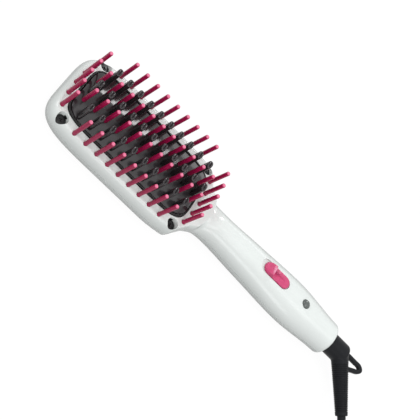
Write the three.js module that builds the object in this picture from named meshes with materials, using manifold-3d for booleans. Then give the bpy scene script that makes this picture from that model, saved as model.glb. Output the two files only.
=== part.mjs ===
// A hair straightening brush: a heated plate of blades among cool pins in a wide head, a handle with
// a slide switch, and a mains cord on a swivel. Millimetres. The origin is the middle of the head's
// flat back, +X runs along the handle to the cord and +Z to the tips of the pins.
import * as THREE from "three";
import { mergeVertices } from "three/addons/utils/BufferGeometryUtils.js";
import Module from "manifold-3d";

const wasm = await Module();
wasm.setup();

// Body shells, seen from the front
const NOSE_LENGTH = 59.6;
const HEAD_WIDTH = 63.2;
const CORNER_FULLNESS = 5.0;
const SHOULDER_INSET = 5.6;
const SHOULDER_HEAD_SIDE = 24.0;
const SHOULDER_NECK_SIDE = 22.0;
const NECK_WIDTH = 23.5;
const NECK_LENGTH = 33.5;
const GRIP_START_WIDTH = 27.2;
const GRIP_SWELL_LENGTH = 42.0;
const GRIP_WIDTH = 32.5;
const GRIP_TAPER_LENGTH = 42.4;
const END_WIDTH = 25.7;

// Body shells, seen from the side
const GRIP_DEPTH = 27.3;
const NECK_DEPTH = 25.0;
const END_DEPTH = 24.4;
const HEAD_DEPTH = 22.3;
const WALL = 2.2;
const END_WALL = 6.0;
const END_EDGE = 2.5;
const PARTING_GAP = 0.3;
const FRONT_EDGE = 4.2;
const BACK_EDGE = 13.5;
const BACK_NOSE_EDGE = 22.5;
const FRONT_RAMP_START = 4.0;
const FRONT_RAMP_LENGTH = 17.0;
const FRONT_CREASE_START = 8.0;
const FRONT_CREASE_LENGTH = 5.0;
const BACK_RAMP_START = -2.5;
const BACK_RAMP_LENGTH = 16.0;
const ROUND_GRIP = 0.98;

// The shoulder's outline: share of the way to either side of it, share of the width between neck and head
const SHOULDER_OUTLINE = [
  [-1, 1],
  [-0.202, 0.889],
  [0, 0.588],
  [0.218, 0.287],
  [0.632, 0.04],
];

// Clearances
const GAP = 0.3;
const PIN_CLEARANCE = 0.25;
const RUNNING_GAP = 0.3;

// Heated plate with its blades
const END_ROW_GAP = 5.3;
const PLATE_SIDE_INSET = 10.2;
const PLATE_FULLNESS = 5.8;
const PLATE_BACK = 1.2;
const PLATE_EDGE_RISE = 0.8;
const PLATE_CROWN_RISE = 4.6;
const CROWN_FLAT_WIDTH = 10.0;
const CROWN_FOOT_SHIFT = 1.0;
const TOOTH_PITCH = 9.0;
const ROW_END_MARGIN = 4.4;
const SIDE_BLADE_INSET = 4.85;
const SIDE_BLADE_RISE = 16.4;
const MIDDLE_BLADE_RISE = 17.5;
const BLADE_ROOT = 0.5;
const BLADE_WIDTH = 6.9;
const BLADE_THICKNESS = 3.9;
const BLADE_TIP_SHARE = 0.88;
const CROWN_STEPS = 12;

// Cool pins
const PIN_DIAMETER = 2.6;
const PIN_RISE = 20.9;
const PIN_SIDES = 6;
const INNER_ROW_SHIFT = 0.115;
const INNER_STRIP_WIDTH = 3.6;
const INNER_STRIP_DEPTH = 1.6;
const OUTER_PIN_INSET = 4.43;
const SIDE_ROW_MARGIN = 8.0;
const END_PIN_INSET = 4.8;
const END_PIN_SPACING = 9.25;
const END_ROW_MARGIN = 7.0;
const END_ROW_RADIUS = 74.4;
const PIN_BAR_WIDTH = 3.6;
const PIN_BAR_DEPTH = 1.6;
const PIN_BAR_SHIFT = 1.0;
const END_BAR_SHIFT = 0.6;

// Tray that carries the plate and the heaters
const LIP_WALL = 1.0;
const LIP_RISE = 1.4;
const TRAY_WALL = 3.0;
const TRAY_FLANGE = 1.4;
const TRAY_FLANGE_DEPTH = 1.6;
const TRAY_FLOOR = 1.6;
const TRAY_FLOOR_GAP = 0.5;
const TRAY_POST_SPACING = 24.0;
const TRAY_POST_SIZE = 3.0;
const SHELL_POST_Y = 12.0;
const SHELL_POST_DIAMETER = 6.0;
const BAR_POST_X = 20.0;
const BAR_POST_Y = 6.0;
const BAR_POST_DIAMETER = 3.0;

// Heaters under the plate
const HEATER_SPACING = 2.0;
const HEATER_END_GAP = 1.6;
const HEATER_SIDE_GAP = 1.16;
const HEATER_DEPTH = 2.6;
const MICA_DEPTH = 0.4;
const CLAMP_DEPTH = 1.5;
const CLAMP_TAB_WIDTH = 5.8;
const CLAMP_SCREW_DIAMETER = 2.2;
const CLAMP_SCREW_HEAD_DIAMETER = 4.6;
const CLAMP_SCREW_HEAD_DEPTH = 1.5;
const CLAMP_BOSS_DIAMETER = 5.2;
const THERMOSTAT_LENGTH = 15.0;
const THERMOSTAT_SIDE_GAP = 1.6;
const THERMOSTAT_DEPTH = 3.9;
const THERMOSTAT_X = -19.5;
const FUSE_LENGTH = 12.0;
const FUSE_DIAMETER = 4.0;
const FUSE_X = 14.0;

// Screws in the head
const SCREW_END_INSET = 12.7;
const SCREW_SIDE_INSET = 6.8;
const SCREW_DIAMETER = 3.0;
const SCREW_HEAD_DIAMETER = 6.0;
const SCREW_HEAD_DEPTH = 1.4;
const SCREW_LENGTH = 9.0;
const RECESS_DIAMETER = 7.8;
const RECESS_DEPTH = 4.2;
const RECESS_FLOOR = 2.2;
const RECESS_WALL = 1.0;
const REAR_BOSS_DIAMETER = 6.4;

// Slide switch
const SLOT_OFFSET = 3.2;
const SLOT_LENGTH = 27.0;
const SLOT_WIDTH = 9.6;
const SLOT_DEPTH = 2.3;
const SLOT_FLOOR = 1.6;
const SLOT_WALL = 2.0;
const KNOB_LENGTH = 23.6;
const KNOB_RISE = 1.0;
const KNOB_RIDGE_RISE = 2.8;
const KNOB_STEM_LENGTH = 6.4;
const KNOB_STEM_WIDTH = 4.8;
const KEEPER_DEPTH = 1.0;
const KNOB_FLOAT = 1.0;
const SLIDER_LENGTH = 4.6;
const SLIDER_WIDTH = 3.0;
const SWITCH_LENGTH = 18.0;
const SWITCH_WIDTH = 10.0;
const SWITCH_DEPTH = 5.0;

// Board and indicator
const BOARD_OFFSET = 2.5;
const BOARD_END_GAP = 3.0;
const BOARD_WIDTH = 15.0;
const BOARD_DEPTH = 1.6;
const BOARD_POST_INSET = 4.0;
const BOARD_POST_DIAMETER = 4.4;
const LENS_OFFSET = 6.4;
const LENS_DIAMETER = 6.2;
const LENS_RISE = 1.1;
const LED_DIAMETER = 4.8;
const LED_LENGTH = 5.4;
const CAPACITOR_LENGTH = 11.0;
const CAPACITOR_WIDTH = 7.0;
const CAPACITOR_HEIGHT = 6.0;

// Swivel, its contacts and the cord
const COLLAR_DIAMETER = 16.1;
const SWIVEL_NECK_DIAMETER = 12.8;
const SWIVEL_FLANGE_STEP = 0.5;
const SWIVEL_FLANGE_DEPTH = 2.1;
const HUB_DIAMETER = 6.4;
const HUB_LENGTH = 12.2;
const SLIP_RING_DIAMETER = 9.2;
const SLIP_RING_WIDTH = 2.2;
const BRUSH_DEPTH = 0.5;
const BRUSH_RISE = 3.0;
const CONTACT_BLOCK_WIDTH = 15.0;
const BUSH_SIDE_GAP = 0.4;
const BUSH_LENGTH = 4.4;
const BUSH_GROOVE = 0.9;
const RIB_DEPTH = 1.0;
const BEND_OFFSET = 15.5;
const CORD_ANGLE = THREE.MathUtils.degToRad(-57.8);
const SLEEVE_LENGTH = 44.0;
const SLEEVE_DIAMETER = 13.0;
const SLEEVE_END_DIAMETER = 8.8;
const RIB_START = 13.3;
const RIB_PITCH = 2.4;
const RIB_CUT = 0.45;
const LOOP_STRAP = 3.0;
const LOOP_STRAP_HEIGHT = 3.6;
const CORD_DIAMETER = 6.0;
const LEAD_DIAMETER = 1.6;
const HEATER_LEAD_GAP = 0.9;

// The cord's coil, put away beyond the handle's end
const COIL_OFFSET = 124.6;
const CORD_RUN_OUT = 24.0;
const CORD_RUN_IN = 40.0;
const COIL_Y = -27.0;
const COIL_LAYERS = 4;
const COIL_RADIUS = 32.5;
const LAY_PITCH = 6.7;
const COIL_START = -90;
const COIL_TURNS = 7.8;
const COIL_STEPS = 24;
const FLOOR_GAP = 0.05;
const TIE_WALL = 0.8;
const TIE_WIDTH = 8.0;
const TIE_ANGLE = 130;
const TIE_SLACK = 0.8;

// Plug
const PLUG_LENGTH = 30.0;
const PLUG_WIDTH = 20.0;
const PLUG_DEPTH = 13.0;
const BLADE_PIN_LENGTH = 16.0;
const BLADE_PIN_WIDTH = 6.35;
const BLADE_PIN_DEPTH = 1.5;
const BLADE_PIN_SPACING = 12.7;

// Places along the body that follow from the sizes above
const SHOULDER_X = NOSE_LENGTH - SHOULDER_INSET;
const NECK_X = SHOULDER_X + SHOULDER_NECK_SIDE;
const GRIP_START_X = NECK_X + NECK_LENGTH;
const GRIP_X = GRIP_START_X + GRIP_SWELL_LENGTH;
const END_X = GRIP_X + GRIP_TAPER_LENGTH;
const END_PIN_X = NOSE_LENGTH - END_PIN_INSET;
const PLATE_LENGTH = 2 * (END_PIN_X - END_ROW_GAP);
const PLATE_WIDTH = HEAD_WIDTH - 2 * PLATE_SIDE_INSET;
const LIP_LENGTH = PLATE_LENGTH + 2 * (GAP + LIP_WALL);
const LIP_WIDTH = PLATE_WIDTH + 2 * (GAP + LIP_WALL);
const CLAMP_SCREW_X = LIP_LENGTH / 2 - TRAY_WALL - GAP - CLAMP_TAB_WIDTH / 2;
const SIDE_BLADE_COUNT = Math.floor((PLATE_LENGTH - 2 * ROW_END_MARGIN) / TOOTH_PITCH);
const SIDE_BLADE_Y = PLATE_WIDTH / 2 - SIDE_BLADE_INSET;
const INNER_PIN_Y = SIDE_BLADE_Y / 2 - INNER_ROW_SHIFT;
const INNER_STRIP_EDGE_Y = INNER_PIN_Y + INNER_STRIP_WIDTH / 2;
const OUTER_PIN_Y = HEAD_WIDTH / 2 - OUTER_PIN_INSET;
const END_PIN_COUNT = 1 + 2 * Math.floor((OUTER_PIN_Y - END_ROW_MARGIN) / END_PIN_SPACING);
const SCREW_X = NOSE_LENGTH - SCREW_END_INSET;
const SIDE_PIN_COUNT = 1 + Math.floor((2 * (SCREW_X - SIDE_ROW_MARGIN)) / TOOTH_PITCH);
const SCREW_Y = HEAD_WIDTH / 2 - SCREW_SIDE_INSET;
const HEATER_REACH = CLAMP_SCREW_X - CLAMP_BOSS_DIAMETER / 2 - HEATER_END_GAP;
const HEATER_LENGTH = HEATER_REACH - HEATER_SPACING / 2;
const HEATER_WIDTH = 2 * (INNER_PIN_Y - INNER_STRIP_WIDTH / 2 - HEATER_SIDE_GAP);
const HEATER_LEAD_Y = CLAMP_BOSS_DIAMETER / 2 + HEATER_LEAD_GAP + LEAD_DIAMETER / 2;
const SIDE_BAY_WIDTH = LIP_WIDTH / 2 - TRAY_WALL - INNER_STRIP_EDGE_Y;
const SIDE_BAY_Y = INNER_STRIP_EDGE_Y + SIDE_BAY_WIDTH / 2;
const THERMOSTAT_WIDTH = SIDE_BAY_WIDTH - 2 * THERMOSTAT_SIDE_GAP;
const BOSS_DIAMETER = RECESS_DIAMETER + 2 * RECESS_WALL;
const SLOT_START_X = GRIP_START_X + SLOT_OFFSET;
const BOARD_START_X = GRIP_START_X + BOARD_OFFSET;
const LENS_X = GRIP_X + LENS_OFFSET;
const BEND_X = END_X + BEND_OFFSET;
const COIL_X = BEND_X + COIL_OFFSET;

// Heights that follow from the sizes above
const AXIS_Z = GRIP_DEPTH / 2;
const RIM_Z = HEAD_DEPTH;
const PIN_TIP_Z = RIM_Z + PIN_RISE;
const PLATE_BACK_Z = RIM_Z - PLATE_BACK;
const PLATE_TOP_Z = RIM_Z + PLATE_CROWN_RISE + 1;
const SHELL_BACK_Z = RIM_Z - WALL;
const STRIP_Z = PLATE_BACK_Z - GAP - INNER_STRIP_DEPTH;
const HEATER_Z = PLATE_BACK_Z - GAP - HEATER_DEPTH;
const MICA_Z = HEATER_Z - GAP - MICA_DEPTH;
const CLAMP_Z = MICA_Z - GAP - CLAMP_DEPTH;
const CLAMP_SCREW_TOP_Z = CLAMP_Z - GAP;
const TRAY_FLOOR_Z = CLAMP_SCREW_TOP_Z - CLAMP_SCREW_HEAD_DEPTH - TRAY_FLOOR_GAP - TRAY_FLOOR;
const RECESS_Z = RIM_Z - RECESS_DEPTH;
const FRONT_BOSS_Z = RECESS_Z - RECESS_FLOOR;
const PIN_BAR_Z = FRONT_BOSS_Z - GAP - PIN_BAR_DEPTH;
const REAR_BOSS_Z = FRONT_BOSS_Z - GAP;
const GRIP_TOP_Z = GRIP_DEPTH;
const SLOT_FLOOR_Z = GRIP_TOP_Z - SLOT_DEPTH;
const SLOT_BACK_Z = SLOT_FLOOR_Z - SLOT_FLOOR;
const SWITCH_TOP_Z = SLOT_BACK_Z - GAP - KEEPER_DEPTH - KNOB_FLOAT;
const SWITCH_Z = SWITCH_TOP_Z - SWITCH_DEPTH;
const BOARD_TOP_Z = SWITCH_Z - GAP;
const BOARD_Z = BOARD_TOP_Z - BOARD_DEPTH;
const LEAD_Z = STRIP_Z - GAP - LEAD_DIAMETER / 2;
const BOARD_LEAD_Z = BOARD_TOP_Z + GAP + LEAD_DIAMETER / 2;
const KNOB_X = SLOT_START_X + SLOT_LENGTH - GAP - KNOB_LENGTH / 2;
const KNOB_WIDTH = SLOT_WIDTH - 2 * GAP;
const KNOB_TRAVEL = SLOT_LENGTH - KNOB_LENGTH - 2 * GAP;
const BUSH_DIAMETER = Math.min(END_DEPTH, END_WIDTH) - 2 * WALL - BUSH_SIDE_GAP;
const SWIVEL_FLANGE_DIAMETER = BUSH_DIAMETER - 2 * SWIVEL_FLANGE_STEP;
const BUSH_END_X = END_X - END_WALL - GAP;
const BUSH_START_X = BUSH_END_X - BUSH_LENGTH;
const FLANGE_START_X = BUSH_START_X - RUNNING_GAP - SWIVEL_FLANGE_DEPTH;
const HUB_START_X = FLANGE_START_X - HUB_LENGTH;
const BOARD_LENGTH = HUB_START_X - BOARD_END_GAP - BOARD_START_X;

// Joins and cuts of closed meshes
function solidOf(geometry) {
  const bare = geometry.clone();
  for (const name of ["normal", "uv", "uv1"]) bare.deleteAttribute(name);
  const merged = mergeVertices(bare, 1e-4);
  const corners = merged.index.array;
  const kept = [];
  for (let i = 0; i < corners.length; i += 3) {
    const [a, b, c] = corners.slice(i, i + 3);
    if (a !== b && b !== c && a !== c) kept.push(a, b, c);
  }
  return new wasm.Manifold(
    new wasm.Mesh({
      numProp: 3,
      vertProperties: merged.attributes.position.array,
      triVerts: Uint32Array.from(kept),
    }),
  );
}

function geometryOf(solid) {
  const { vertProperties, triVerts, numProp } = solid.getMesh();
  if (numProp !== 3) throw new Error("only positions are kept");
  const geometry = new THREE.BufferGeometry();
  geometry.setAttribute("position", new THREE.BufferAttribute(vertProperties, 3));
  geometry.setIndex(new THREE.BufferAttribute(triVerts, 1));
  geometry.computeVertexNormals();
  return geometry;
}

function joined(solids) {
  return solids.reduce((whole, solid) => whole.add(solid));
}

function cut(solid, tools) {
  return solid.subtract(joined(tools));
}

// Simple solids
function block(x, y, z) {
  const geometry = new THREE.BoxGeometry(x[1] - x[0], y[1] - y[0], z[1] - z[0]);
  geometry.translate((x[0] + x[1]) / 2, (y[0] + y[1]) / 2, (z[0] + z[1]) / 2);
  return solidOf(geometry);
}

function post(x, y, diameter, z, sides = 12) {
  const geometry = new THREE.CylinderGeometry(diameter / 2, diameter / 2, z[1] - z[0], sides);
  geometry.rotateX(Math.PI / 2);
  geometry.translate(x, y, (z[0] + z[1]) / 2);
  return solidOf(geometry);
}

function drum(x, diameter, sides = 22) {
  const geometry = new THREE.CylinderGeometry(diameter / 2, diameter / 2, x[1] - x[0], sides);
  geometry.rotateZ(Math.PI / 2);
  geometry.translate((x[0] + x[1]) / 2, 0, AXIS_Z);
  return solidOf(geometry);
}

function prism(points, z) {
  const shape = new THREE.Shape(points);
  const geometry = new THREE.ExtrudeGeometry(shape, { depth: z[1] - z[0], bevelEnabled: false });
  geometry.translate(0, 0, z[0]);
  return solidOf(geometry);
}

// A turned solid about +Z: profile points are [radius, height]
function turned(profile, sides) {
  const points = profile.map(([radius, height]) => new THREE.Vector2(radius, height));
  const geometry = new THREE.LatheGeometry(points, sides);
  geometry.rotateX(Math.PI / 2);
  return geometry;
}

// A strap or wire along a curve
function swept(points, width, height, steps, sides) {
  const corners = points.map((point) => new THREE.Vector3(...point));
  const curve = new THREE.CatmullRomCurve3(corners, false, "centripetal");
  return solidOf(sweptAlong(curve, width, height, steps, sides));
}

function sweptAlong(curve, width, height, steps, sides) {
  const corner = Math.PI / sides;
  const section = new THREE.Shape(
    Array.from({ length: sides }, (_, i) => {
      const angle = (2 * Math.PI * i) / sides + corner;
      return new THREE.Vector2((width / 2) * Math.cos(angle), (height / 2) * Math.sin(angle));
    }),
  );
  return new THREE.ExtrudeGeometry(section, { steps, extrudePath: curve });
}

// The full oblong that the plate, its tray and the opening for them share
function plateOutline(length, width) {
  return Array.from({ length: 32 }, (_, i) => {
    const angle = (2 * Math.PI * i) / 32;
    const cosine = Math.cos(angle);
    const sine = Math.sin(angle);
    return new THREE.Vector2(
      (length / 2) * Math.sign(cosine) * Math.abs(cosine) ** (2 / PLATE_FULLNESS),
      (width / 2) * Math.sign(sine) * Math.abs(sine) ** (2 / PLATE_FULLNESS),
    );
  });
}

function stadium(centre, length, width, arcSteps = 8) {
  const points = [];
  for (const side of [1, -1]) {
    for (let i = 0; i <= arcSteps; i++) {
      const angle = ((side > 0 ? -90 : 90) + (180 * i) / arcSteps) * THREE.MathUtils.DEG2RAD;
      const middle = centre + (side * (length - width)) / 2;
      points.push(new THREE.Vector2(middle + (width / 2) * Math.cos(angle), (width / 2) * Math.sin(angle)));
    }
  }
  return points;
}

// A smooth curve through points with rising x that never overshoots between them
function steadyCurve(points) {
  const slope = points.slice(1).map(([x, y], i) => (y - points[i][1]) / (x - points[i][0]));
  const tangent = points.map((_, i) => {
    if (i === 0 || i === points.length - 1) return 0;
    const [before, after] = [slope[i - 1], slope[i]];
    return before * after <= 0 ? 0 : (2 * before * after) / (before + after);
  });
  return (x) => {
    const at = Math.min(Math.max(x, points[0][0]), points.at(-1)[0]);
    const i = Math.min(points.findLastIndex(([start]) => at >= start), points.length - 2);
    const [[x0, y0], [x1, y1]] = [points[i], points[i + 1]];
    const span = x1 - x0;
    const t = (at - x0) / span;
    return (
      y0 * (1 + 2 * t) * (1 - t) ** 2 +
      y1 * t * t * (3 - 2 * t) +
      span * (tangent[i] * t * (1 - t) ** 2 + tangent[i + 1] * t * t * (t - 1))
    );
  };
}

function eased(start, length, x) {
  return THREE.MathUtils.smoothstep(x, start, start + length);
}

function shoulderX(along) {
  return SHOULDER_X + along * (along < 0 ? SHOULDER_HEAD_SIDE : SHOULDER_NECK_SIDE);
}

// Outline and depth of the body
const neckHalf = NECK_WIDTH / 2;
const headHalf = HEAD_WIDTH / 2;
const halfWidthPastNose = steadyCurve([
  [0, headHalf],
  ...SHOULDER_OUTLINE.map(([along, share]) => [shoulderX(along), neckHalf + share * (headHalf - neckHalf)]),
  [NECK_X, neckHalf],
  [GRIP_START_X, GRIP_START_WIDTH / 2],
  [GRIP_X, GRIP_WIDTH / 2],
  [END_X, END_WIDTH / 2],
]);
const handleHalfDepth = steadyCurve([
  [SHOULDER_X, NECK_DEPTH / 2],
  [NECK_X, NECK_DEPTH / 2],
  [GRIP_START_X, GRIP_DEPTH / 2],
  [GRIP_X, GRIP_DEPTH / 2],
  [END_X, END_DEPTH / 2],
]);

// One slice of the body's outside. A nose slice is given by its angle from the tip, the others by their x.
function slice({ angle = null, x = 0 }) {
  const nose = angle !== null;
  const at = nose ? -NOSE_LENGTH * Math.cos(angle) ** (2 / CORNER_FULLNESS) : x;
  const halfWidth = nose ? headHalf * Math.sin(angle) ** (2 / CORNER_FULLNESS) : halfWidthPastNose(x);
  const front = eased(SHOULDER_X + FRONT_RAMP_START, FRONT_RAMP_LENGTH, at);
  const crease = eased(SHOULDER_X + FRONT_CREASE_START, FRONT_CREASE_LENGTH, at);
  const back = eased(SHOULDER_X + BACK_RAMP_START, BACK_RAMP_LENGTH, at);
  const depth = handleHalfDepth(at);
  const { lerp } = THREE.MathUtils;
  return {
    x: at,
    halfWidth,
    front: {
      height: lerp(RIM_Z - AXIS_Z, depth, front),
      edge: lerp(FRONT_EDGE / headHalf, ROUND_GRIP, crease),
      pull: nose ? FRONT_EDGE / NOSE_LENGTH : 0,
    },
    back: {
      height: -lerp(AXIS_Z, depth, back),
      edge: lerp(BACK_EDGE / headHalf, ROUND_GRIP, back),
      pull: nose ? BACK_NOSE_EDGE / NOSE_LENGTH : 0,
    },
  };
}

// The slice's loop of points: up the front on one side, down on the other, and back round the rear
function sliceLoop({ x, halfWidth, front, back }, inset, angles) {
  const half = Math.max(halfWidth - inset * Math.min(1, halfWidth / headHalf + (x > 0 ? 1 : 0)), 0);
  const quarter = (face, side, list) =>
    list.map((degrees) => {
      const angle = THREE.MathUtils.degToRad(degrees);
      const drawn = 1 - Math.cos(angle);
      const edge = half > inset ? Math.max((face.edge * halfWidth - inset) / half, 0.01) : face.edge;
      const height = face.height - Math.sign(face.height) * inset;
      const along = x < 0 ? x * (1 - inset / NOSE_LENGTH) * (1 - face.pull * drawn) : x;
      return new THREE.Vector3(along, side * half * (1 - edge * drawn), AXIS_Z + height * Math.sin(angle));
    });
  const inner = angles.back.slice(1);
  return [
    ...quarter(front, 1, angles.front),
    ...quarter(front, -1, angles.front.toReversed()),
    ...quarter(back, -1, inner),
    ...quarter(back, 1, inner.toReversed()),
  ];
}

// A closed skin over loops of equal length
function lofted(loops) {
  const count = loops[0].length;
  const corners = loops.flat();
  const faces = [];
  for (let i = 0; i + 1 < loops.length; i++) {
    for (let j = 0; j < count; j++) {
      const [a, b] = [i * count + j, i * count + ((j + 1) % count)];
      faces.push(a, b, b + count, a, b + count, a + count);
    }
  }
  const last = (loops.length - 1) * count;
  for (let j = 1; j + 1 < count; j++) {
    faces.push(0, j + 1, j);
    faces.push(last, last + j, last + j + 1);
  }
  const geometry = new THREE.BufferGeometry().setFromPoints(corners);
  geometry.setIndex(faces);
  return solidOf(geometry);
}

const NOSE_ANGLES = [0, 9, 20, 33, 46, 58, 69, 80];
const SHOULDER_SHARES = [-1, -0.667, -0.417, -0.25, -0.125, 0, 0.136, 0.273, 0.364, 0.432, 0.5, 0.59, 0.7, 0.85];
const HANDLE_SHARES = [0, 0.12, 0.28, 0.46, 0.63, 0.76, 0.88];
const OUTER_ANGLES = { front: [0, 30, 60, 90], back: [0, 22, 45, 68, 90] };

// Where the slices past the nose are taken: round the shoulder, then along the handle
function bodyStations(endX) {
  const shoulder = SHOULDER_SHARES.map(shoulderX);
  const handle = HANDLE_SHARES.map((share) => NECK_X + share * (END_X - NECK_X));
  return [0, ...shoulder, ...handle].filter((x) => x < endX - 1);
}

function outerBody() {
  const nose = NOSE_ANGLES.map((degrees) => slice({ angle: THREE.MathUtils.degToRad(degrees) }));
  const rest = bodyStations(END_X - END_EDGE).map((x) => slice({ x }));
  const loops = [...nose, ...rest].map((s) => sliceLoop(s, 0, OUTER_ANGLES));
  for (const turn of [0, 45, 90]) {
    const angle = THREE.MathUtils.degToRad(turn);
    const end = slice({ x: END_X - END_EDGE * (1 - Math.sin(angle)) });
    loops.push(sliceLoop(end, END_EDGE * (1 - Math.cos(angle)), OUTER_ANGLES));
  }
  return lofted(loops);
}

const INNER_ANGLES = { front: [0, 35, 65, 90], back: [0, 22, 45, 68, 90] };

function innerBody(inset) {
  const nose = NOSE_ANGLES.map((degrees) => slice({ angle: THREE.MathUtils.degToRad(degrees) }));
  const endX = END_X - END_WALL;
  const rest = [...bodyStations(endX), endX].map((x) => slice({ x }));
  return lofted([...nose, ...rest].map((s) => sliceLoop(s, inset, INNER_ANGLES)));
}

const outer = outerBody();
const inner = innerBody(WALL);
const FAR = 400;

// Where the pins stand
function sidePinPlaces(side) {
  return Array.from({ length: SIDE_PIN_COUNT }, (_, i) => [
    (i - (SIDE_PIN_COUNT - 1) / 2) * TOOTH_PITCH,
    side * OUTER_PIN_Y,
  ]);
}

const END_PIN_REACH = ((END_PIN_COUNT - 1) / 2) * END_PIN_SPACING;

function endRowX(side, y) {
  return side * (END_PIN_X - y ** 2 / (2 * END_ROW_RADIUS));
}

function endPinPlaces(side) {
  return Array.from({ length: END_PIN_COUNT }, (_, i) => {
    const y = i * END_PIN_SPACING - END_PIN_REACH;
    return [endRowX(side, y), y];
  });
}

const outerPinPlaces = [1, -1].flatMap((side) => [...sidePinPlaces(side), ...endPinPlaces(side)]);

function innerPinPlaces(side) {
  return Array.from({ length: SIDE_BLADE_COUNT + 1 }, (_, i) => [
    (i - SIDE_BLADE_COUNT / 2) * TOOTH_PITCH,
    side * INNER_PIN_Y,
  ]);
}

const screwPlaces = [
  ["far_left", -SCREW_X, -SCREW_Y],
  ["far_right", -SCREW_X, SCREW_Y],
  ["near_left", SCREW_X, -SCREW_Y],
  ["near_right", SCREW_X, SCREW_Y],
];

function pin(x, y, base) {
  const radius = PIN_DIAMETER / 2;
  const geometry = turned(
    [
      [0, base],
      [radius, base],
      [radius, PIN_TIP_Z - 0.6 * radius],
      [0, PIN_TIP_Z],
    ],
    PIN_SIDES,
  );
  geometry.translate(x, y, 0);
  return solidOf(geometry);
}

function pinHole(x, y, z) {
  return post(x, y, PIN_DIAMETER + 2 * PIN_CLEARANCE, z, PIN_SIDES);
}

// Shells
function bushRib(half) {
  const middle = (BUSH_START_X + BUSH_END_X) / 2;
  const x = [middle - RIB_DEPTH / 2, middle + RIB_DEPTH / 2];
  const rib = block(x, [-FAR, FAR], half).intersect(outer);
  return rib.subtract(drum([x[0] - 1, x[1] + 1], BUSH_DIAMETER - 2 * BUSH_GROOVE + 2 * GAP));
}

function frontShell() {
  const z = [AXIS_Z + PARTING_GAP / 2, FAR];
  const slotMiddle = SLOT_START_X + SLOT_LENGTH / 2;
  const rim = 2 * SLOT_WALL;
  const padZ = [SLOT_BACK_Z, SLOT_FLOOR_Z + 1];
  const pad = prism(stadium(slotMiddle, SLOT_LENGTH + rim, SLOT_WIDTH + rim), padZ);
  const bosses = screwPlaces.map(([, x, y]) => post(x, y, BOSS_DIAMETER, [FRONT_BOSS_Z, RIM_Z - 1]));
  const half = outer.subtract(inner).intersect(block([-FAR, FAR], [-FAR, FAR], z));
  const solid = joined([half, joined([pad, ...bosses]).intersect(outer), bushRib(z)]);
  const openingFit = 2 * GAP;
  return cut(solid, [
    prism(plateOutline(LIP_LENGTH + openingFit, LIP_WIDTH + openingFit), [AXIS_Z, RIM_Z + 5]),
    ...outerPinPlaces.map(([x, y]) => pinHole(x, y, [AXIS_Z, RIM_Z + 2])),
    ...screwPlaces.map(([, x, y]) => post(x, y, RECESS_DIAMETER, [RECESS_Z, RIM_Z + 2], 18)),
    ...screwPlaces.map(([, x, y]) => post(x, y, SCREW_DIAMETER + 2 * GAP, [AXIS_Z, RIM_Z], 10)),
    prism(stadium(slotMiddle, SLOT_LENGTH, SLOT_WIDTH), [SLOT_FLOOR_Z, FAR]),
    block(
      [KNOB_X - KNOB_STEM_LENGTH / 2 - KNOB_TRAVEL - 2 * GAP, KNOB_X + KNOB_STEM_LENGTH / 2 + 2 * GAP],
      [-KNOB_STEM_WIDTH / 2 - GAP, KNOB_STEM_WIDTH / 2 + GAP],
      [AXIS_Z, FAR],
    ),
    post(LENS_X, 0, LENS_DIAMETER + 2 * GAP, [AXIS_Z, FAR], 18),
    drum([END_X - END_WALL - 1, FAR], COLLAR_DIAMETER + 2 * RUNNING_GAP),
  ]);
}

function rearShell() {
  const z = [-FAR, AXIS_Z - PARTING_GAP / 2];
  const half = outer.subtract(inner).intersect(block([-FAR, FAR], [-FAR, FAR], z));
  const foot = WALL / 2;
  const clear = innerBody(WALL + GAP);
  const bosses = screwPlaces.flatMap(([, x, y]) => [
    post(x, y, REAR_BOSS_DIAMETER, [foot, z[1]]).intersect(outer),
    post(x, y, REAR_BOSS_DIAMETER, [z[1] - 1, REAR_BOSS_Z]).intersect(clear),
  ]);
  const barTop = PIN_BAR_Z - GAP;
  const barY = OUTER_PIN_Y - PIN_BAR_SHIFT;
  const barPosts = [-1, 1]
    .flatMap((side) => [
      ...[-BAR_POST_X, BAR_POST_X].map((x) => [x, side * barY]),
      ...[-BAR_POST_Y, BAR_POST_Y].map((y) => [endRowX(side, y) - side * END_BAR_SHIFT, y]),
    ])
    .map(([x, y]) => post(x, y, BAR_POST_DIAMETER, [foot, barTop], 8).intersect(outer));
  const trayPosts = [-1.5, 1.5].flatMap((share) =>
    [-SHELL_POST_Y, SHELL_POST_Y].map((y) =>
      post(share * TRAY_POST_SPACING, y, SHELL_POST_DIAMETER, [foot, TRAY_FLOOR_Z - GAP], 8),
    ),
  );
  const boardPosts = [BOARD_POST_INSET, BOARD_LENGTH - BOARD_POST_INSET].map((along) =>
    post(BOARD_START_X + along, 0, BOARD_POST_DIAMETER, [foot, BOARD_Z - GAP]),
  );
  const solid = joined([half, ...bosses, ...barPosts, ...trayPosts, ...boardPosts, bushRib(z)]);
  return cut(solid, [
    ...screwPlaces.map(([, x, y]) =>
      post(x, y, SCREW_DIAMETER + 2 * GAP, [RECESS_Z - SCREW_LENGTH - 2 * GAP, FAR], 10),
    ),
    drum([END_X - END_WALL - 1, FAR], COLLAR_DIAMETER + 2 * RUNNING_GAP),
  ]);
}

// Heated plate: a broad crown under the inner rows, which falls to a shelf under the side blades
function crownHeight(y) {
  const { lerp, smoothstep } = THREE.MathUtils;
  const fall = smoothstep(Math.abs(y), CROWN_FLAT_WIDTH / 2, SIDE_BLADE_Y + CROWN_FOOT_SHIFT);
  return RIM_Z + lerp(PLATE_CROWN_RISE, PLATE_EDGE_RISE, fall);
}

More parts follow.
